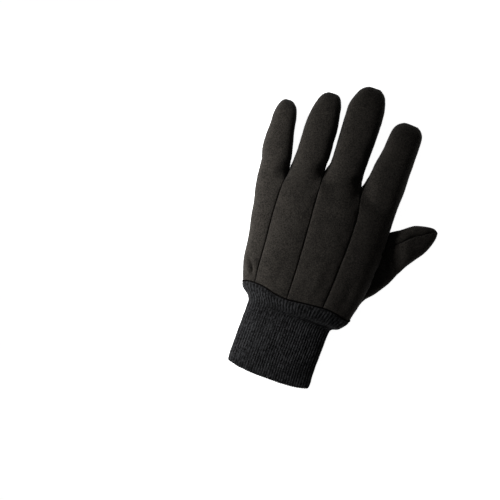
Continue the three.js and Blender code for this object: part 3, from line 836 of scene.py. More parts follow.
@dataclass
class Cloth:
    """One sewn piece: the part of the skin that belongs to it, with its wall, seams and folds."""

    skin: Skin
    piece: Piece
    size: Sizes = SIZES
    roll: float = 0.85
    valley: float = 0.6
    valley_width: float = 3.6
    rim_parts: int = 4
    pucker: float = 0.3
    pucker_reach: float = 6.0
    fullness: float = 0.35
    side_share: float = 0.35
    side_turn: float = 1.4
    wrist_share: float = 0.7
    wrist_roll: float = 1.6
    wrist_near: float = 0.05
    waves: float = 0.55
    wave_sizes: tuple[float, float] = (26, 12)
    wave_shift: tuple[float, float, float] = (7, 3, 1)
    wave_start: float = 5.0
    pucker_size: tuple[float, float, float] = (5, 4.4, 6)

    def build(self) -> bpy.types.Object:
        """Makes the piece's mesh, with the outer face's points and faces before those of the inner face.

        Returns:
            The object, in metres.
        """
        numbers: dict[tuple[Key, bool], int] = {}
        points: list[np.ndarray] = []
        normals: list[np.ndarray] = []
        palm_side: list[bool] = []
        faces: list[tuple[int, ...]] = []
        for sheet in self.skin.sheets:
            if sheet.piece is not self.piece:
                continue
            for face in self.skin.quads(sheet):
                corners = []
                for place in face:
                    point = sheet.rows[place[0]][place[1]]
                    name = (key(point), place in sheet.apart)
                    if name not in numbers:
                        numbers[name] = len(points)
                        points.append(point)
                        normals.append(self.skin.outward[name[0]])
                        palm_side.append(sheet.face is Face.PALM)
                    corners.append(numbers[name])
                corners = [v for k, v in enumerate(corners) if v != corners[k - 1]]
                if len(corners) > 2:
                    faces.append(tuple(corners))
        outer, out = np.array(points), np.array(normals)
        rim = self.rim(faces)
        away = self.pull(outer, out, rim)
        outer = self.shape(outer, out, np.array(palm_side), away)
        inner = outer - out * self.size.cloth_wall
        shift = len(outer)
        everything = faces + [tuple(v + shift for v in reversed(face)) for face in faces]
        everything += [(b, a, a + shift, b + shift) for a, b in rim]
        self.area = self.flat_area(outer, faces)
        names = {number: name for (name, _), number in numbers.items()}
        self.seam = [(names[a], names[b]) for a, b in rim]
        self.seam_points = [(names[a], outer[a]) for edge in rim for a in edge]
        return mesh_object(f"{self.piece.value}_cloth", np.vstack([outer, inner]) * MM, everything)

    @staticmethod
    def rim(faces: list[tuple[int, ...]]) -> list[tuple[int, int]]:
        """Edges that have a face on one side alone."""
        edges = {(face[k - 1], face[k]) for face in faces for k in range(len(face))}
        return [edge for edge in edges if edge[::-1] not in edges]

    def pull(self, outer: np.ndarray, out: np.ndarray, rim: list[tuple[int, int]]) -> np.ndarray:
        """Draws the rim back by half the seam's gap and measures how far each point is from it.

        Args:
            outer: the points, which are moved.
            out: their outward directions.
            rim: the edges of the rim.

        Returns:
            Each point's distance from the rim.
        """
        inward = np.zeros_like(outer)
        for a, b in rim:
            along = outer[b] - outer[a]
            along /= max(float(np.linalg.norm(along)), TINY)
            inward[a] += np.cross(out[a], along)
            inward[b] += np.cross(out[b], along)
        length = np.linalg.norm(inward, axis=1, keepdims=True)
        outer += inward / np.maximum(length, TINY) * self.size.seam_gap / 2
        parts = self.rim_parts
        tree = kdtree.KDTree(len(rim) * parts)
        for k, (a, b) in enumerate(rim):
            for part in range(parts):
                tree.insert(mix(outer[a], outer[b], part / parts), k * parts + part)
        tree.balance()
        return np.array([tree.find(point)[2] for point in outer])

    def shape(
        self, outer: np.ndarray, out: np.ndarray, palm_side: np.ndarray, away: np.ndarray
    ) -> np.ndarray:
        """Rolls the seam edges in and adds puckers, folds and the cloth's unevenness.

        Args:
            outer: the points.
            out: their outward directions.
            palm_side: whether each lies on the palm side.
            away: their distances from the rim.

        Returns:
            The shaped points.
        """
        near = np.clip(self.roll - away, 0, self.roll)
        height = -(self.roll - np.sqrt(self.roll**2 - near**2))
        height -= self.valley * np.exp(-away / self.valley_width)
        level = np.clip(np.abs(out[:, 2]) * self.side_turn, 0, 1)
        wrist = np.clip((outer[:, 1] - self.size.wrist) / self.wrist_roll, 0, 1)
        share = mix(self.side_share, 1, level * mix(self.wrist_share, 1, wrist))
        height = height * share + self.fullness * (1 - level)
        large, small = self.wave_sizes
        shift = Vector(self.wave_shift)
        for k, point in enumerate(outer):
            spot = Vector(point)
            slow = noise.noise(spot / large) + 0.5 * noise.noise(spot / small + shift)
            tight = noise.noise(Vector(point / self.pucker_size))
            height[k] += self.waves * slow * (1 - math.exp(-away[k] / self.wave_start))
            height[k] += self.pucker * tight * math.exp(-away[k] / self.pucker_reach)
        for face, folds in FOLDS.items():
            mine = palm_side if face is Face.PALM else ~palm_side
            height += np.where(mine, fold_height(outer, folds), 0)
        shaped = outer + out * height[:, None]
        shaped[:, 2] = np.maximum(0, shaped[:, 2])
        return wave_wrist(shaped)

    def wrist_edge(self, edge: tuple[Key, Key]) -> bool:
        """Whether an edge of the rim lies along the wrist seam."""
        return all(abs(name[1] / KEY_STEPS - self.size.wrist) < self.wrist_near for name in edge)

    @staticmethod
    def flat_area(outer: np.ndarray, faces: list[tuple[int, ...]]) -> float:
        """Adds up the area of the piece's outer face.

        Args:
            outer: its points, in millimetres.
            faces: its faces.

        Returns:
            The area, in square metres.
        """
        total = 0.0
        for face in faces:
            a, b, c, d = (outer[face[corner]] for corner in (0, 1, 2, -1))
            total += np.linalg.norm(np.cross(c - a, d - b)) / 2
        return total * MM * MM


@dataclass
class Stitching:
    """The thread that shows as small bars down in the seams, or round the wrist seam alone; there it can be
    laid thick and close as a dark band that is also painted shade in the seam's groove.
    """

    skin: Skin
    name: str = "seam_thread"
    at_wrist: bool = False
    pitch: float = 2.4
    length: float = 0.75
    thickness: float = 0.26
    sides: int = 7
    lift: float = 0.45

    def build(self, cloths: list[Cloth], material: bpy.types.Material) -> bpy.types.Object:
        """Lays bars of thread across the seams.

        Args:
            cloths: the pieces, built already.
            material: the thread's finish.

        Returns:
            The thread, as one object.
        """
        totals: dict[Key, list[np.ndarray]] = {}
        for cloth in cloths:
            for name, point in cloth.seam_points:
                totals.setdefault(name, []).append(point)
        edges = sorted({
            tuple(sorted(edge)) for cloth in cloths for edge in cloth.seam
            if edge[0] != edge[1] and self.at_wrist == cloth.wrist_edge(edge)
        })
        order = {name: k for k, name in enumerate(sorted({name for edge in edges for name in edge}))}
        out = np.array([self.skin.outward[name] for name in order])
        points = np.array([np.mean(totals[name], axis=0) for name in order]) + out * self.lift
        across = np.zeros_like(points)
        for a, b in edges:
            side = np.cross(out[order[a]], points[order[b]] - points[order[a]])
            for name in (a, b):
                turn = 1 if across[order[name]] @ side >= 0 else -1
                across[order[name]] += turn * side
        mesh = bpy.data.meshes.new("seam_lines")
        places = [tuple(map(float, place)) for place in points * MM]
        mesh.from_pydata(places, [(order[a], order[b]) for a, b in edges], [])
        mesh.attributes.new("across", "FLOAT_VECTOR", "POINT").data.foreach_set("vector", across.ravel())
        lines = bpy.data.objects.new("seam_lines", mesh)
        bpy.context.scene.collection.objects.link(lines)
        values = {"Pitch": self.pitch * MM, "Length": self.length * MM, "Thickness": self.thickness * MM}
        return apply_nodes(lines, self.name, self.nodes(values), values, material)

    def nodes(self, values: dict[str, float]) -> bpy.types.NodeTree:
        """Builds the nodes that set a short bar of thread at each step along the seams.

        Args:
            values: the usual values of the tree's inputs.

        Returns:
            The tree.
        """
        group = geometry_group("seam_stitches", values)
        tree = Tree(group)
        given = tree.add("NodeGroupInput")
        curve = tree.add("GeometryNodeMeshToCurve", {"Mesh": given.outputs["Geometry"]}).outputs[0]
        even = tree.add("GeometryNodeResampleCurve", {
            "Curve": curve, "Length": given.outputs["Pitch"],
        }, mode="LENGTH")
        turn = tree.add("FunctionNodeAlignRotationToVector", {
            "Vector": tree.attribute("across", "FLOAT_VECTOR"),
        }, axis="Z").outputs[0]
        radius = tree.math("MULTIPLY", given.outputs["Thickness"], 0.5)
        bar = tree.add("GeometryNodeMeshCylinder", {
            "Vertices": self.sides, "Radius": radius, "Depth": given.outputs["Length"],
        })
        placed = tree.add("GeometryNodeInstanceOnPoints", {
            "Points": even.outputs[0], "Instance": bar.outputs["Mesh"], "Rotation": turn,
        })
        finish_group(tree, placed.outputs[0])
        return group


@dataclass
class Nap:
    """The brushed fibres that stand up from the jersey."""

    spacing: float = 1.5
    length: float = 0.9
    thickness: float = 0.05
    sides: int = 3
    shortest: float = 0.5
    lean_from: tuple[float, float, float] = (-1.0, -1.0, -0.2)
    lean_to: tuple[float, float, float] = (1.0, 1.0, 0.6)
    clear: float = 1.0
    seed: int = 11

    def build(self, cloths: list[bpy.types.Object], material: bpy.types.Material) -> bpy.types.Object:
        """Grows short fibres on the outside of the cloth.

        Args:
            cloths: the cloth objects.
            material: the jersey's finish.

        Returns:
            The fibres, as one object.
        """
        base = mesh_object("nap_base", *self.outside(cloths, self.clear * MM))
        values = {
            "Density": 1 / (self.spacing * MM) ** 2, "Length": self.length * MM,
            "Thickness": self.thickness * MM, "Seed": self.seed,
        }
        return apply_nodes(base, "brushed_nap", self.nodes(values), values, material)

    @staticmethod
    def outside(cloths: list[bpy.types.Object], clear: float) -> tuple[np.ndarray, list[tuple[int, ...]]]:
        """Gathers the outer faces of the cloth, apart from those on which the glove rests.

        Args:
            cloths: the cloth objects.
            clear: the height below which the fibres are pressed flat, in metres.

        Returns:
            The points and the faces.
        """
        points, faces, shift = [], [], 0
        for cloth in cloths:
            count = len(cloth.data.vertices) // 2
            points += [vertex.co[:] for vertex in cloth.data.vertices[:count]]
            faces += [
                tuple(v + shift for v in face.vertices) for face in cloth.data.polygons
                if max(face.vertices) < count and min(points[v + shift][2] for v in face.vertices) > clear
            ]
            shift += count
        return np.array(points), faces

    def nodes(self, values: dict[str, float]) -> bpy.types.NodeTree:
        """Builds the nodes that scatter and lean the fibres.

        Args:
            values: the usual values of the tree's inputs.

        Returns:
            The tree.
        """
        group = geometry_group("brushed_fibres", values)
        tree = Tree(group)
        given = tree.add("NodeGroupInput")
        spots = tree.add("GeometryNodeDistributePointsOnFaces", {
            "Mesh": given.outputs["Geometry"], "Density": given.outputs["Density"],
            "Seed": given.outputs["Seed"],
        })
        lean = tree.add("FunctionNodeRandomValue", {
            0: self.lean_from, 1: self.lean_to, "Seed": given.outputs["Seed"],
        }, data_type="FLOAT_VECTOR").outputs[0]
        leant = tree.vector("ADD", spots.outputs["Normal"], lean)
        turn = tree.add("FunctionNodeAlignRotationToVector", {"Vector": leant}, axis="Z").outputs[0]
        size = tree.add("FunctionNodeRandomValue", {
            2: self.shortest, 3: 1.0, "Seed": given.outputs["Seed"],
        }).outputs[1]
        fibre = tree.add("GeometryNodeMeshCone", {
            "Vertices": self.sides, "Radius Top": 0.0, "Radius Bottom": given.outputs["Thickness"],
            "Depth": given.outputs["Length"],
        }, fill_type="NONE")
        placed = tree.add("GeometryNodeInstanceOnPoints", {
            "Points": spots.outputs[0], "Instance": fibre.outputs["Mesh"], "Rotation": turn, "Scale": size,
        })
        finish_group(tree, placed.outputs[0])
        return group


def fold_height(points: np.ndarray, folds: list[Row]) -> np.ndarray:
    """Adds up folds, each a soft furrow or ridge along a line seen from above.

    Args:
        points: where to measure.
        folds: the table of folds.

    Returns:
        The height that they add at each point.
    """
    total = np.zeros(len(points))
    for fold in folds:
        start, end = np.array([fold["x0"], fold["y0"]]), np.array([fold["x1"], fold["y1"]])
        length = np.linalg.norm(end - start)
        along = (end - start) / length
        offset = points[:, :2] - start
        t = offset @ along / length
        bow = FOLD_BOW * length * np.sin(np.pi * np.clip(t, 0, 1))
        across = offset @ np.array([-along[1], along[0]]) - bow
        taper = np.clip(1 - np.abs(2 * t - 1) ** 2, 0, 1)
        total -= fold["depth"] * np.exp(-((across / fold["wide"]) ** 2)) * taper
    return total


def mesh_object(name: str, points: np.ndarray, faces: list[tuple[int, ...]]) -> bpy.types.Object:
    """Makes a smooth mesh object at the origin.

    Args:
        name: its name.
        points: its corners, in metres.
        faces: its faces.

    Returns:
        The object.
    """
    mesh = bpy.data.meshes.new(name)
    mesh.from_pydata([tuple(map(float, p)) for p in points], [], faces)
    mesh.polygons.foreach_set("use_smooth", [True] * len(mesh.polygons))
    mesh.update()
    obj = bpy.data.objects.new(name, mesh)
    bpy.context.scene.collection.objects.link(obj)
    return obj


class Tree:
    """Shorthand for building a node tree."""

    def __init__(self, nodes_tree: bpy.types.NodeTree) -> None:
        """Wraps an empty tree."""
        self.tree = nodes_tree

    def add(
        self, kind: str, inputs: Inputs | None = None, **settings: str | bpy.types.NodeTree
    ) -> bpy.types.Node:
        """Adds a node.

        Args:
            kind: its type.
            inputs: values or sockets for its inputs, by name or number.
            settings: its own settings.

        Returns:
            The node.
        """
        node = self.tree.nodes.new(kind)
        for name, value in settings.items():
            setattr(node, name, value)
        self.fill(node, inputs or {})
        return node

    def fill(self, node: bpy.types.Node, inputs: Inputs) -> None:
        """Sets or links a node's inputs.

        Args:
            node: the node.
            inputs: values or sockets for its inputs, by name or number.
        """
        for name, value in inputs.items():
            if isinstance(value, Socket):
                self.tree.links.new(value, node.inputs[name])
            else:
                node.inputs[name].default_value = value

    def math(self, operation: str, *values: Input) -> Socket:
        """Adds a math node and gives its result."""
        return self.add("ShaderNodeMath", dict(enumerate(values)), operation=operation).outputs[0]

    def vector(self, operation: str, *values: Input) -> Socket:
        """Adds a vector math node and gives its result."""
        return self.add("ShaderNodeVectorMath", dict(enumerate(values)), operation=operation).outputs[0]

    def scaled(self, vector: Socket, scale: Socket) -> Socket:
        """Gives a vector times a number."""
        return self.add("ShaderNodeVectorMath", {0: vector, "Scale": scale}, operation="SCALE").outputs[0]

    def attribute(self, name: str, kind: str) -> Socket:
        """Gives an attribute of the mesh."""
        return self.add("GeometryNodeInputNamedAttribute", {"Name": name}, data_type=kind).outputs[0]

    def grain(self, place: Socket, inputs: Inputs, **settings: str) -> Socket:
        """Gives noise at a place."""
        return self.add("ShaderNodeTexNoise", {"Vector": place, **inputs}, **settings).outputs[0]

    def colour(self, mask: Socket, dark: Colour, light: Colour) -> Socket:
        """Gives a colour from dark, where the mask is 0, to light, where it is 1."""
        inputs = {0: mask, 6: (*dark, 1), 7: (*light, 1)}
        return self.add("ShaderNodeMix", inputs, data_type="RGBA").outputs[2]

    def bump(self, height: Socket, distance: float) -> Socket:
        """Gives a normal that follows a height, with the metres that a height of 1 stands for."""
        inputs = {"Height": height, "Distance": distance, "Strength": 1.0}
        return self.add("ShaderNodeBump", inputs).outputs[0]


def new_material(name: str) -> tuple[bpy.types.Material, Tree, bpy.types.Node]:
    """Starts a material.

    Args:
        name: its name.

    Returns:
        The material, its tree and the shader in it.
    """
    material = bpy.data.materials.new(name)
    material.use_nodes = True
    return material, Tree(material.node_tree), material.node_tree.nodes["Principled BSDF"]


def value_inputs(group: bpy.types.NodeTree, inputs: dict[str, float]) -> None:
    """Adds named number inputs to a group.

    Args:
        group: the group.
        inputs: their names and usual values.
    """
    for name, value in inputs.items():
        kind = "NodeSocketInt" if isinstance(value, int) else "NodeSocketFloat"
        group.interface.new_socket(name, in_out="INPUT", socket_type=kind).default_value = value


def heather_group() -> bpy.types.NodeTree:
    """Builds the group for mixed fibres: a mask of light and dark fibres, and the height of the nap.

    Returns:
        The group, with inputs for its scale, the fibres' contrast and how much they clump.
    """
    group = bpy.data.node_groups.new("mixed_fibres", "ShaderNodeTree")
    group.interface.new_socket("Vector", in_out="INPUT", socket_type="NodeSocketVector")
    value_inputs(group, {"Scale": 1.0, "Contrast": 1.0, "Clumps": 0.75})
    for name in ("Mask", "Height"):
        group.interface.new_socket(name, in_out="OUTPUT", socket_type="NodeSocketFloat")
    coarse_share, fibre_share = 0.2, 0.85
    tree = Tree(group)
    given = tree.add("NodeGroupInput")
    place = tree.scaled(given.outputs["Vector"], given.outputs["Scale"])
    coarse = tree.grain(place, {"Scale": 95.0, "Detail": 3.0, "Roughness": 0.6})
    clump = tree.grain(place, {"Scale": 760.0, "Detail": 3.0, "Roughness": 0.6, "Distortion": 0.6})
    fibre = tree.grain(place, {"Scale": 1700.0, "Detail": 3.0, "Roughness": 0.65, "Distortion": 1.4})
    broad = tree.math("MULTIPLY_ADD", coarse, coarse_share, -(coarse_share + fibre_share) / 2)
    clumped = tree.math("MULTIPLY_ADD", tree.math("SUBTRACT", clump, 0.5), given.outputs["Clumps"], broad)
    centred = tree.math("MULTIPLY_ADD", fibre, fibre_share, clumped)
    mask = tree.math("MULTIPLY_ADD", centred, given.outputs["Contrast"], 0.5)
    clamped = tree.add("ShaderNodeClamp", {"Value": mask}).outputs[0]
    height = tree.math("MULTIPLY_ADD", fibre, 0.5, clump)
    tree.add("NodeGroupOutput", {"Mask": clamped, "Height": height})
    return group


@dataclass(frozen=True)
class JerseyFinish:
    """Brushed cotton jersey with light and dark fibres mixed, and a short nap."""

    slot: str = "brown_jersey"
    dark: Colour = (0.0052, 0.0045, 0.0037)
    light: Colour = (0.0305, 0.0267, 0.0226)
    scale: float = 1.3
    contrast: float = 3.6
    clumps: float = 0.8
    roughness: float = 0.95
    shine: float = 0.12
    sheen: float = 0.05
    sheen_roughness: float = 0.45
    bump: float = 0.00026

    def material(self, name: str, fibres: bpy.types.NodeTree) -> bpy.types.Material:
        """Makes the material.

        Args:
            name: its name.
            fibres: the group for mixed fibres.

        Returns:
            The material.
        """
        material, tree, shader = new_material(name)
        mixed = tree.add("ShaderNodeGroup", {
            "Vector": tree.add("ShaderNodeTexCoord").outputs["Object"],
            "Scale": self.scale, "Contrast": self.contrast, "Clumps": self.clumps,
        }, node_tree=fibres).outputs
        tree.fill(shader, {
            "Base Color": tree.colour(mixed["Mask"], self.dark, self.light),
            "Normal": tree.bump(mixed["Height"], self.bump),
            "Roughness": self.roughness, "Specular IOR Level": self.shine,
            "Sheen Weight": self.sheen, "Sheen Roughness": self.sheen_roughness,
        })
        return material


@dataclass(frozen=True)
class ThreadFinish:
    """Dark sewing thread."""

    colour: Colour = (0.0026, 0.0023, 0.0021)
    roughness: float = 0.9
    shine: float = 0.02

    def material(self, name: str) -> bpy.types.Material:
        """Makes the material.

        Args:
            name: its name.

        Returns:
            The material.
        """
        material, tree, shader = new_material(name)
        tree.fill(shader, {
            "Base Color": (*self.colour, 1), "Roughness": self.roughness, "Specular IOR Level": self.shine,
        })
        return material


@dataclass(frozen=True)
class RibKnitFinish:
    """Charcoal rib knit: the yarn's loops follow the ribs, on the piece's own map, with painted shade in the
    furrows and loop dips.
    """

    slot: str = "rib_knit"
    dark: Colour = (0.001, 0.001, 0.0011)
    light: Colour = (0.0285, 0.0288, 0.0303)
    contrast: float = 5.5
    drawn: tuple[float, float, float] = (1.0, 0.6, 1.0)
    roughness: float = 0.85
    shine: float = 0.05
    sheen: float = 0.015
    bump: float = 0.0005
    loops: float = 62.0
    slant: float = 0.7
    loop_height: float = 0.4
    fibre_height: float = 1.1
    # Painted shade in the base colour: darker in the dips of the loops and in the furrows between ribs,
    # lighter on the rib crests
    loop_painted_shade: float = 0.3
    rib_painted_shade: float = 0.8
    furrow_painted_shade: float = -0.62

    def material(self, name: str, fibres: bpy.types.NodeTree, ribs: int) -> bpy.types.Material:
        """Makes the material.

        Args:
            name: its name.
            fibres: the group for mixed fibres.
            ribs: how many ribs go round.

        Returns:
            The material.
        """
        material, tree, shader = new_material(name)
        mapped = tree.add("ShaderNodeUVMap", uv_map="UVMap").outputs[0]
        parts = tree.add("ShaderNodeSeparateXYZ", {0: mapped})
        place = tree.add("ShaderNodeTexCoord").outputs["Object"]
        mixed = tree.add("ShaderNodeGroup", {
            "Vector": tree.vector("MULTIPLY", place, self.drawn), "Contrast": self.contrast,
        }, node_tree=fibres).outputs
        rib = tree.math("MULTIPLY", parts.outputs[0], float(ribs))
        side = tree.math("PINGPONG", tree.math("MULTIPLY", rib, 2.0), 1.0)
        along = tree.math("MULTIPLY", parts.outputs[1], self.loops)
        slanted = tree.math("MULTIPLY_ADD", side, self.slant, along)
        loop = tree.math("PINGPONG", tree.math("MULTIPLY", slanted, 2.0), 1.0)
        ridge = tree.math("PINGPONG", tree.math("ADD", rib, 0.5), 0.5)
        raised = tree.math("MULTIPLY", ridge, 2.0)
        fuzz = tree.math("MULTIPLY", mixed["Height"], self.fibre_height)
        height = tree.math("MULTIPLY_ADD", loop, self.loop_height, fuzz)
        # Painted shade: the fibres' mask is darkened in the furrows and loop dips and lifted on the rib
        # crests
        shade = tree.math("MULTIPLY_ADD", raised, self.rib_painted_shade, self.furrow_painted_shade)
        shade = tree.math("MULTIPLY_ADD", loop, self.loop_painted_shade, shade)
        mask = tree.add("ShaderNodeClamp", {"Value": tree.math("ADD", mixed["Mask"], shade)}).outputs[0]
        tree.fill(shader, {
            "Base Color": tree.colour(mask, self.dark, self.light), "Normal": tree.bump(height, self.bump),
            "Roughness": self.roughness, "Specular IOR Level": self.shine, "Sheen Weight": self.sheen,
        })
        return material


@dataclass
class KnitCuff:
    """The ribbed knit wrist: a doubled tube that rolls in under the wrist seam."""

    hand: HandForm
    ribs: int = 72
    steps_per_rib: int = 8
    measured_steps: int = 4000
    rib_depth: float = 0.4
    rib_fullness: float = 0.7
    rib_start: float = 0.06
    inner_ribs: float = 0.35
    lumps: float = 0.9
    wander: float = 4.0
    seed: int = 4
    rows: int = 90
    roll_part: float = 0.26
    tuck: float = 0.045
    tuck_rows: int = 11
    tuck_depth: float = 2.1
    tuck_run: tuple[float, float] = (0.002, 0.02)
    groove: tuple[float, float] = (0.35, 3.2)
    roll_end: float = 0.018
    crease: float = 3.2
    crease_at: float = 0.17
    crease_width: float = 0.012
    crease_share: tuple[float, float] = (0.55, 0.65)
    hem_steps: int = 8
    inner_every: int = 3

    def ring(self, section: Row, wall: float) -> np.ndarray:
        """Points round one section, in millimetres.

        Args:
            section: its row, with the share of each side and the top that it keeps.
            wall: how far inside the outer face it lies.

        Returns:
            One point for each step round.
        """
        size, hand = self.hand.size, self.hand
        power = 2 / size.palm_roundness
        angles = self.even_angles()
        at, top_share, thumb_share = section["at"], section["top"], section["thumb_side"]
        inset = wall + self.tuck_inset(at, np.abs(np.sin(angles)))
        tube = CUFF_MIDDLE * size.palm_width - size.cuff_width / 2
        left = mix(tube, hand.line(0, 0), section["little_side"]) + inset
        right = mix(tube + size.cuff_width, hand.line(4, 0), thumb_share) - inset
        thickness = mix(size.cuff_thickness, hand.thickness(0), top_share)
        side = size.side_level * mix(size.cuff_thickness, hand.thickness(0), (top_share + thumb_share) / 2)
        cosine = signed_power(np.cos(angles), power)
        rise = np.abs(np.sin(angles)) ** power
        under = np.maximum(inset, side * (1 - size.pressed * rise))
        fold = self.crease * math.exp(-(((at - self.crease_at) / self.crease_width) ** 2))
        middle, slope = self.crease_share
        top = thickness - inset - fold * np.clip(middle + slope * cosine, 0, 1)
        z = np.where(np.sin(angles) >= 0, mix(side, top, rise), under)
        corner = CUFF_CORNER_RISE * at * np.abs(cosine) ** 3
        y = size.wrist - size.seam_gap / 2 - (at - corner) * size.cuff_length
        return wave_wrist(np.stack([(left + right) / 2 + (right - left) / 2 * cosine, y, z], axis=-1))

    def tuck_inset(self, at: float, level: np.ndarray) -> np.ndarray:
        """How far inside the outer face a section lies, where it rolls in under the wrist seam.

        Args:
            at: the section's station.
            level: 0 at the sides of the tube and 1 on its top and underside.

        Returns:
            The inset at each point of the section.
        """
        share = min(max((self.roll_end - at) / self.roll_end, 0.0), 1.0)
        groove = mix(*self.groove, level) * (1 - math.sqrt(1 - share * share))
        return mix(groove, self.tuck_depth, smooth(-at, *self.tuck_run))

    def even_angles(self) -> np.ndarray:
        """Finds angles that give ribs of even width round the flat tube.

        Returns:
            One angle for each step round.
        """
        size, power = self.hand.size, 2 / self.hand.size.palm_roundness
        fine = np.linspace(0, 2 * np.pi, self.measured_steps + 1)
        x = size.cuff_width / 2 * signed_power(np.cos(fine), power)
        z = size.cuff_thickness / 2 * signed_power(np.sin(fine), power)
        length = np.concatenate([[0], np.cumsum(np.hypot(np.diff(x), np.diff(z)))])
        count = self.ribs * self.steps_per_rib
        return np.interp(np.arange(count) / count * length[-1], length, fine)

    def build(self) -> bpy.types.Object:
        """Makes the knit wrist: a plain tube first, which the rib nodes then knit.

        Returns:
            The finished object.
        """
        size, half = self.hand.size, self.rows // 2
        hem_round = 0.5 * size.cuff_wall / size.cuff_length
        stations = np.concatenate([
            np.linspace(-self.tuck, 0, self.tuck_rows + 1)[:-1],
            np.linspace(0, self.roll_part, half + 1)[:-1],
            mix(self.roll_part, 1 - hem_round, close_at_ends(half, both=False)),
        ])
        sections = [
            {"at": at, **{name: sample(CUFF_SECTIONS, name, max(at, 0)) for name in CUFF_SHARES}}
            for at in stations
        ]
        rings = [self.ring(section, 0) for section in sections]
        hem = sections[-1]
        for turn in np.linspace(0, 1, self.hem_steps + 1)[1:-1]:
            fold = {**hem, "at": hem["at"] + hem_round * math.sin(math.pi * turn)}
            rings.append(self.ring(fold, size.cuff_wall * (1 - math.cos(math.pi * turn)) / 2))
        inner_start, outer_rows = len(rings), len(sections)
        inner = sorted({0, outer_rows - 1, *range(0, outer_rows, self.inner_every)}, reverse=True)
        rings += [self.ring(sections[k], size.cuff_wall) for k in inner]
        around = len(rings[0])
        faces, uvs, depth = [], [], []
        for row in range(len(rings)):
            level = stations[row] if row < outer_rows else 1.0
            depth += [smooth(level, 0, self.rib_start) if row < inner_start else self.inner_ribs] * around
            low, high = row * around, (row + 1) % len(rings) * around
            v0, v1 = row / outer_rows, (row + 1) / outer_rows
            for step in range(around):
                turn = (step + 1) % around
                faces.append((low + step, low + turn, high + turn, high + step))
                u0, u1 = step / around, (step + 1) / around
                uvs += [(u0, v0), (u1, v0), (u1, v1), (u0, v1)]
        tube = mesh_object("knit_tube", np.vstack(rings) * MM, faces)
        tube.data.uv_layers.new(name="UVMap").data.foreach_set("uv", np.array(uvs).ravel())
        rib = np.tile(np.arange(around) / around, len(rings))
        for name, shares in (("rib", rib), ("depth", np.array(depth))):
            tube.data.attributes.new(name, "FLOAT", "POINT").data.foreach_set("value", shares)
        values = {
            "Ribs": self.ribs, "Depth": self.rib_depth * MM, "Wander": self.wander, "Seed": self.seed,
        }
        knit = apply_nodes(tube, "knit_wrist", self.rib_nodes(values), values)
        for vertex in knit.data.vertices:
            vertex.co.z = max(vertex.co.z, 0)
        return knit

    def rib_nodes(self, values: dict[str, float]) -> bpy.types.NodeTree:
        """Builds the nodes that press furrows between the ribs, with a little unevenness.

        Args:
            values: the usual values of the tree's inputs.

        Returns:
            The tree.
        """
        group = geometry_group("knit_ribs", values)
        tree = Tree(group)
        given = tree.add("NodeGroupInput")
        phase, depth = tree.attribute("rib", "FLOAT"), tree.attribute("depth", "FLOAT")
        place, seed = tree.add("GeometryNodeInputPosition").outputs[0], given.outputs["Seed"]
        drift = tree.grain(place, {"W": seed, "Scale": 45.0, "Detail": 1.0}, noise_dimensions="4D")
        uneven = tree.grain(place, {"W": seed, "Scale": 130.0, "Detail": 2.0}, noise_dimensions="4D")
        turns = tree.math("MULTIPLY", phase, tree.math("MULTIPLY", given.outputs["Ribs"], 2 * math.pi))
        turns = tree.math("MULTIPLY_ADD", tree.math("SUBTRACT", drift, 0.5), given.outputs["Wander"], turns)
        wave = tree.math("MULTIPLY_ADD", tree.math("COSINE", turns), 0.5, 0.5)
        press = tree.math("SUBTRACT", tree.math("POWER", wave, self.rib_fullness), 1.0)
        amount = tree.math("MULTIPLY", tree.math("MULTIPLY", press, given.outputs["Depth"]), depth)
        lumps = tree.math("MULTIPLY", tree.math("SUBTRACT", uneven, 0.5), self.lumps * MM)
        total = tree.math("ADD", amount, tree.math("MULTIPLY", lumps, depth))
        offset = tree.scaled(tree.add("GeometryNodeInputNormal").outputs[0], total)
        moved = tree.add("GeometryNodeSetPosition", {"Geometry": given.outputs["Geometry"], "Offset": offset})
        finish_group(tree, moved.outputs[0])
        return group


def geometry_group(name: str, inputs: dict[str, float]) -> bpy.types.NodeTree:
    """Starts a geometry node tree with a mesh in, a mesh out and named inputs.

    Args:
        name: its name.
        inputs: the names and usual values of its number inputs.

    Returns:
        The tree.
    """
    group = bpy.data.node_groups.new(name, "GeometryNodeTree")
    group.interface.new_socket("Geometry", in_out="INPUT", socket_type="NodeSocketGeometry")
    value_inputs(group, inputs)
    group.interface.new_socket("Material", in_out="INPUT", socket_type="NodeSocketMaterial")
    group.interface.new_socket("Geometry", in_out="OUTPUT", socket_type="NodeSocketGeometry")
    return group


def finish_group(tree: Tree, geometry: Socket) -> None:
    """Ends a geometry tree: real meshes in place of instances, and the material.

    Args:
        tree: the tree.
        geometry: what it has made.
    """
    given = next(node for node in tree.tree.nodes if node.bl_idname == "NodeGroupInput")
    real = tree.add("GeometryNodeRealizeInstances", {"Geometry": geometry})
    dressed = tree.add("GeometryNodeSetMaterial", {
        "Geometry": real.outputs[0], "Material": given.outputs["Material"],
    })
    tree.add("NodeGroupOutput", {"Geometry": dressed.outputs[0]})


def apply_nodes(
    obj: bpy.types.Object, name: str, group: bpy.types.NodeTree, values: dict[str, float],
    material: bpy.types.Material | None = None,
) -> bpy.types.Object:
    """Runs a geometry tree on an object and keeps the result as a plain mesh.

    Args:
        obj: what the tree starts from, which is removed.
        name: the result's name.
        group: the tree.
        values: values for its named inputs.
        material: the material that it sets.

    Returns:
        The plain mesh object.
    """
    modifier = obj.modifiers.new(name, "NODES")
    modifier.node_group = group
    sockets = {item.name: item.identifier for item in group.interface.items_tree if item.in_out == "INPUT"}
    for label, value in values.items():
        modifier[sockets[label]] = value
    if material:
        modifier[sockets["Material"]] = material
    evaluated = obj.evaluated_get(bpy.context.evaluated_depsgraph_get())
    mesh = bpy.data.meshes.new_from_object(evaluated)
    obj.modifiers.remove(modifier)
    result = bpy.data.objects.new(name, mesh)
    mesh.name = name
    bpy.context.scene.collection.objects.link(result)
    bpy.data.objects.remove(obj)
    mesh.polygons.foreach_set("use_smooth", [True] * len(mesh.polygons))
    return result


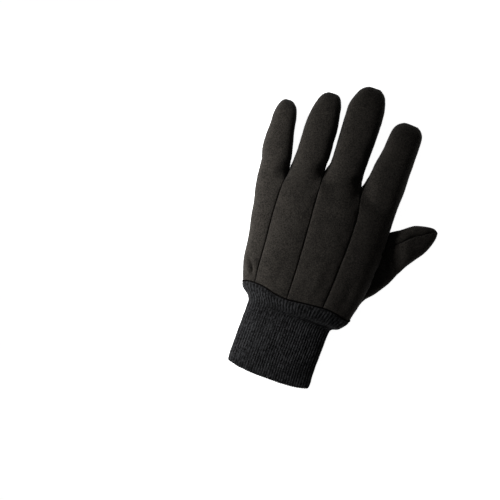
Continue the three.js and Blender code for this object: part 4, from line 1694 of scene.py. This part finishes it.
@dataclass
class Studio:
    """Pale floor, a soft light from the little finger's side, and a camera straight above."""

    millimetres_per_pixel: float = 0.86
    frame_pixels: int = 500
    origin_pixel: tuple[float, float] = (308.0, 246.0)
    turn: float = math.radians(20)
    distance: float = 2.4
    sensor: float = 36
    azimuth: float = math.radians(188)
    elevation: float = math.radians(32)
    reach: float = 0.17
    power: float = 0.78
    panel: tuple[float, float] = (0.4, 0.05)
    floor_reach: float = 3.0
    floor_level: float = -0.0002
    floor_colour: Colour = (0.86, 0.86, 0.86)
    floor_glow: float = 0.96
    surroundings: float = 0.065

    def camera(self) -> None:
        """Places the camera so that the glove lies in the frame as the photograph has it."""
        half = self.frame_pixels / 2
        right, up = half - self.origin_pixel[0], self.origin_pixel[1] - half
        scale = self.millimetres_per_pixel * MM
        cos, sin = math.cos(self.turn), math.sin(self.turn)
        x, y = scale * (right * cos - up * sin), scale * (right * sin + up * cos)
        data = bpy.data.cameras.new("camera")
        data.sensor_width = self.sensor
        data.lens = data.sensor_width * self.distance / (self.frame_pixels * scale)
        camera = bpy.data.objects.new("camera", data)
        camera.location = (x, y, self.distance)
        camera.rotation_euler = (0, 0, self.turn)
        bpy.context.scene.collection.objects.link(camera)
        bpy.context.scene.camera = camera

    def light(self) -> None:
        """Adds the light: a low, wide panel that faces the glove."""
        data = bpy.data.lights.new("key", "AREA")
        data.energy, data.shape = self.power, "ELLIPSE"
        data.size, data.size_y = self.panel
        lamp = bpy.data.objects.new("key", data)
        level = self.reach * math.cos(self.elevation)
        x, y = level * math.cos(self.azimuth), level * math.sin(self.azimuth)
        lamp.location = (x, y, self.reach * math.sin(self.elevation))
        lamp.rotation_euler = (-Vector(lamp.location)).to_track_quat("-Z", "Y").to_euler()
        bpy.context.scene.collection.objects.link(lamp)

    def floor(self) -> None:
        """Lays the plain pale floor, which gives off light too."""
        corners = [
            (x * self.floor_reach, y * self.floor_reach, self.floor_level)
            for x, y in ((-1, -1), (1, -1), (1, 1), (-1, 1))
        ]
        floor = mesh_object("floor", np.array(corners), [(0, 1, 2, 3)])
        material, tree, shader = new_material("pale_floor")
        tree.fill(shader, {
            "Base Color": (*self.floor_colour, 1), "Roughness": 0.9, "Specular IOR Level": 0.1,
            "Emission Color": (1, 1, 1, 1), "Emission Strength": self.floor_glow,
        })
        floor.data.materials.append(material)

    def build(self) -> None:
        """Sets up the floor, light and camera."""
        self.floor()
        self.camera()
        self.light()
        world = bpy.data.worlds.new("studio")
        world.use_nodes = True
        background = world.node_tree.nodes["Background"]
        background.inputs["Color"].default_value = (1, 1, 1, 1)
        background.inputs["Strength"].default_value = self.surroundings
        bpy.context.scene.world = world
        bpy.context.scene.view_settings.view_transform = "Standard"


def main() -> None:
    """Builds the glove piece by piece and reports each one."""
    fibres = heather_group()
    Studio().build()
    hand = HandForm()
    skin = Skin(hand, ThumbForm(hand))
    jersey = JerseyFinish()
    cloth_material = jersey.material("brown_jersey", fibres)
    cloths, objects = [Cloth(skin, piece) for piece in Piece], []
    for piece, cloth in zip(Piece, cloths):
        obj = cloth.build()
        objects.append(obj)
        obj.data.materials.append(cloth_material)
        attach(obj, BODY)
        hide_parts(piece.value)
        LOG.info("%s: %d faces, %.4f square metres", piece.value, len(obj.data.polygons), cloth.area)
    thread = ThreadFinish().material("sewing_thread")
    sewn = Stitching(skin).build(cloths, thread)
    # Round the wrist the dark thread is packed thick and close into a continuous band: an overlock seam, and
    # painted shade standing in for the shade down in the wrist seam's groove
    overlock_and_painted_shade = Stitching(
        skin, "wrist_thread_and_painted_shade", at_wrist=True, pitch=0.7, length=1.5, thickness=0.75, lift=0.5
    ).build(cloths, thread)
    nap = Nap().build(objects, cloth_material)
    for extra in (sewn, overlock_and_painted_shade, nap):
        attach(extra, BODY)
        LOG.info("%s: %d faces", extra.name, len(extra.data.polygons))
    knit = RibKnitFinish()
    cuff = KnitCuff(hand)
    tube = cuff.build()
    tube.data.materials.clear()
    tube.data.materials.append(knit.material("rib_knit", fibres, cuff.ribs))
    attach(tube, BODY)
    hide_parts("knit_cuff")
    LOG.info("knit_cuff: %d faces", len(tube.data.polygons))


if __name__ == "__main__":
    main()
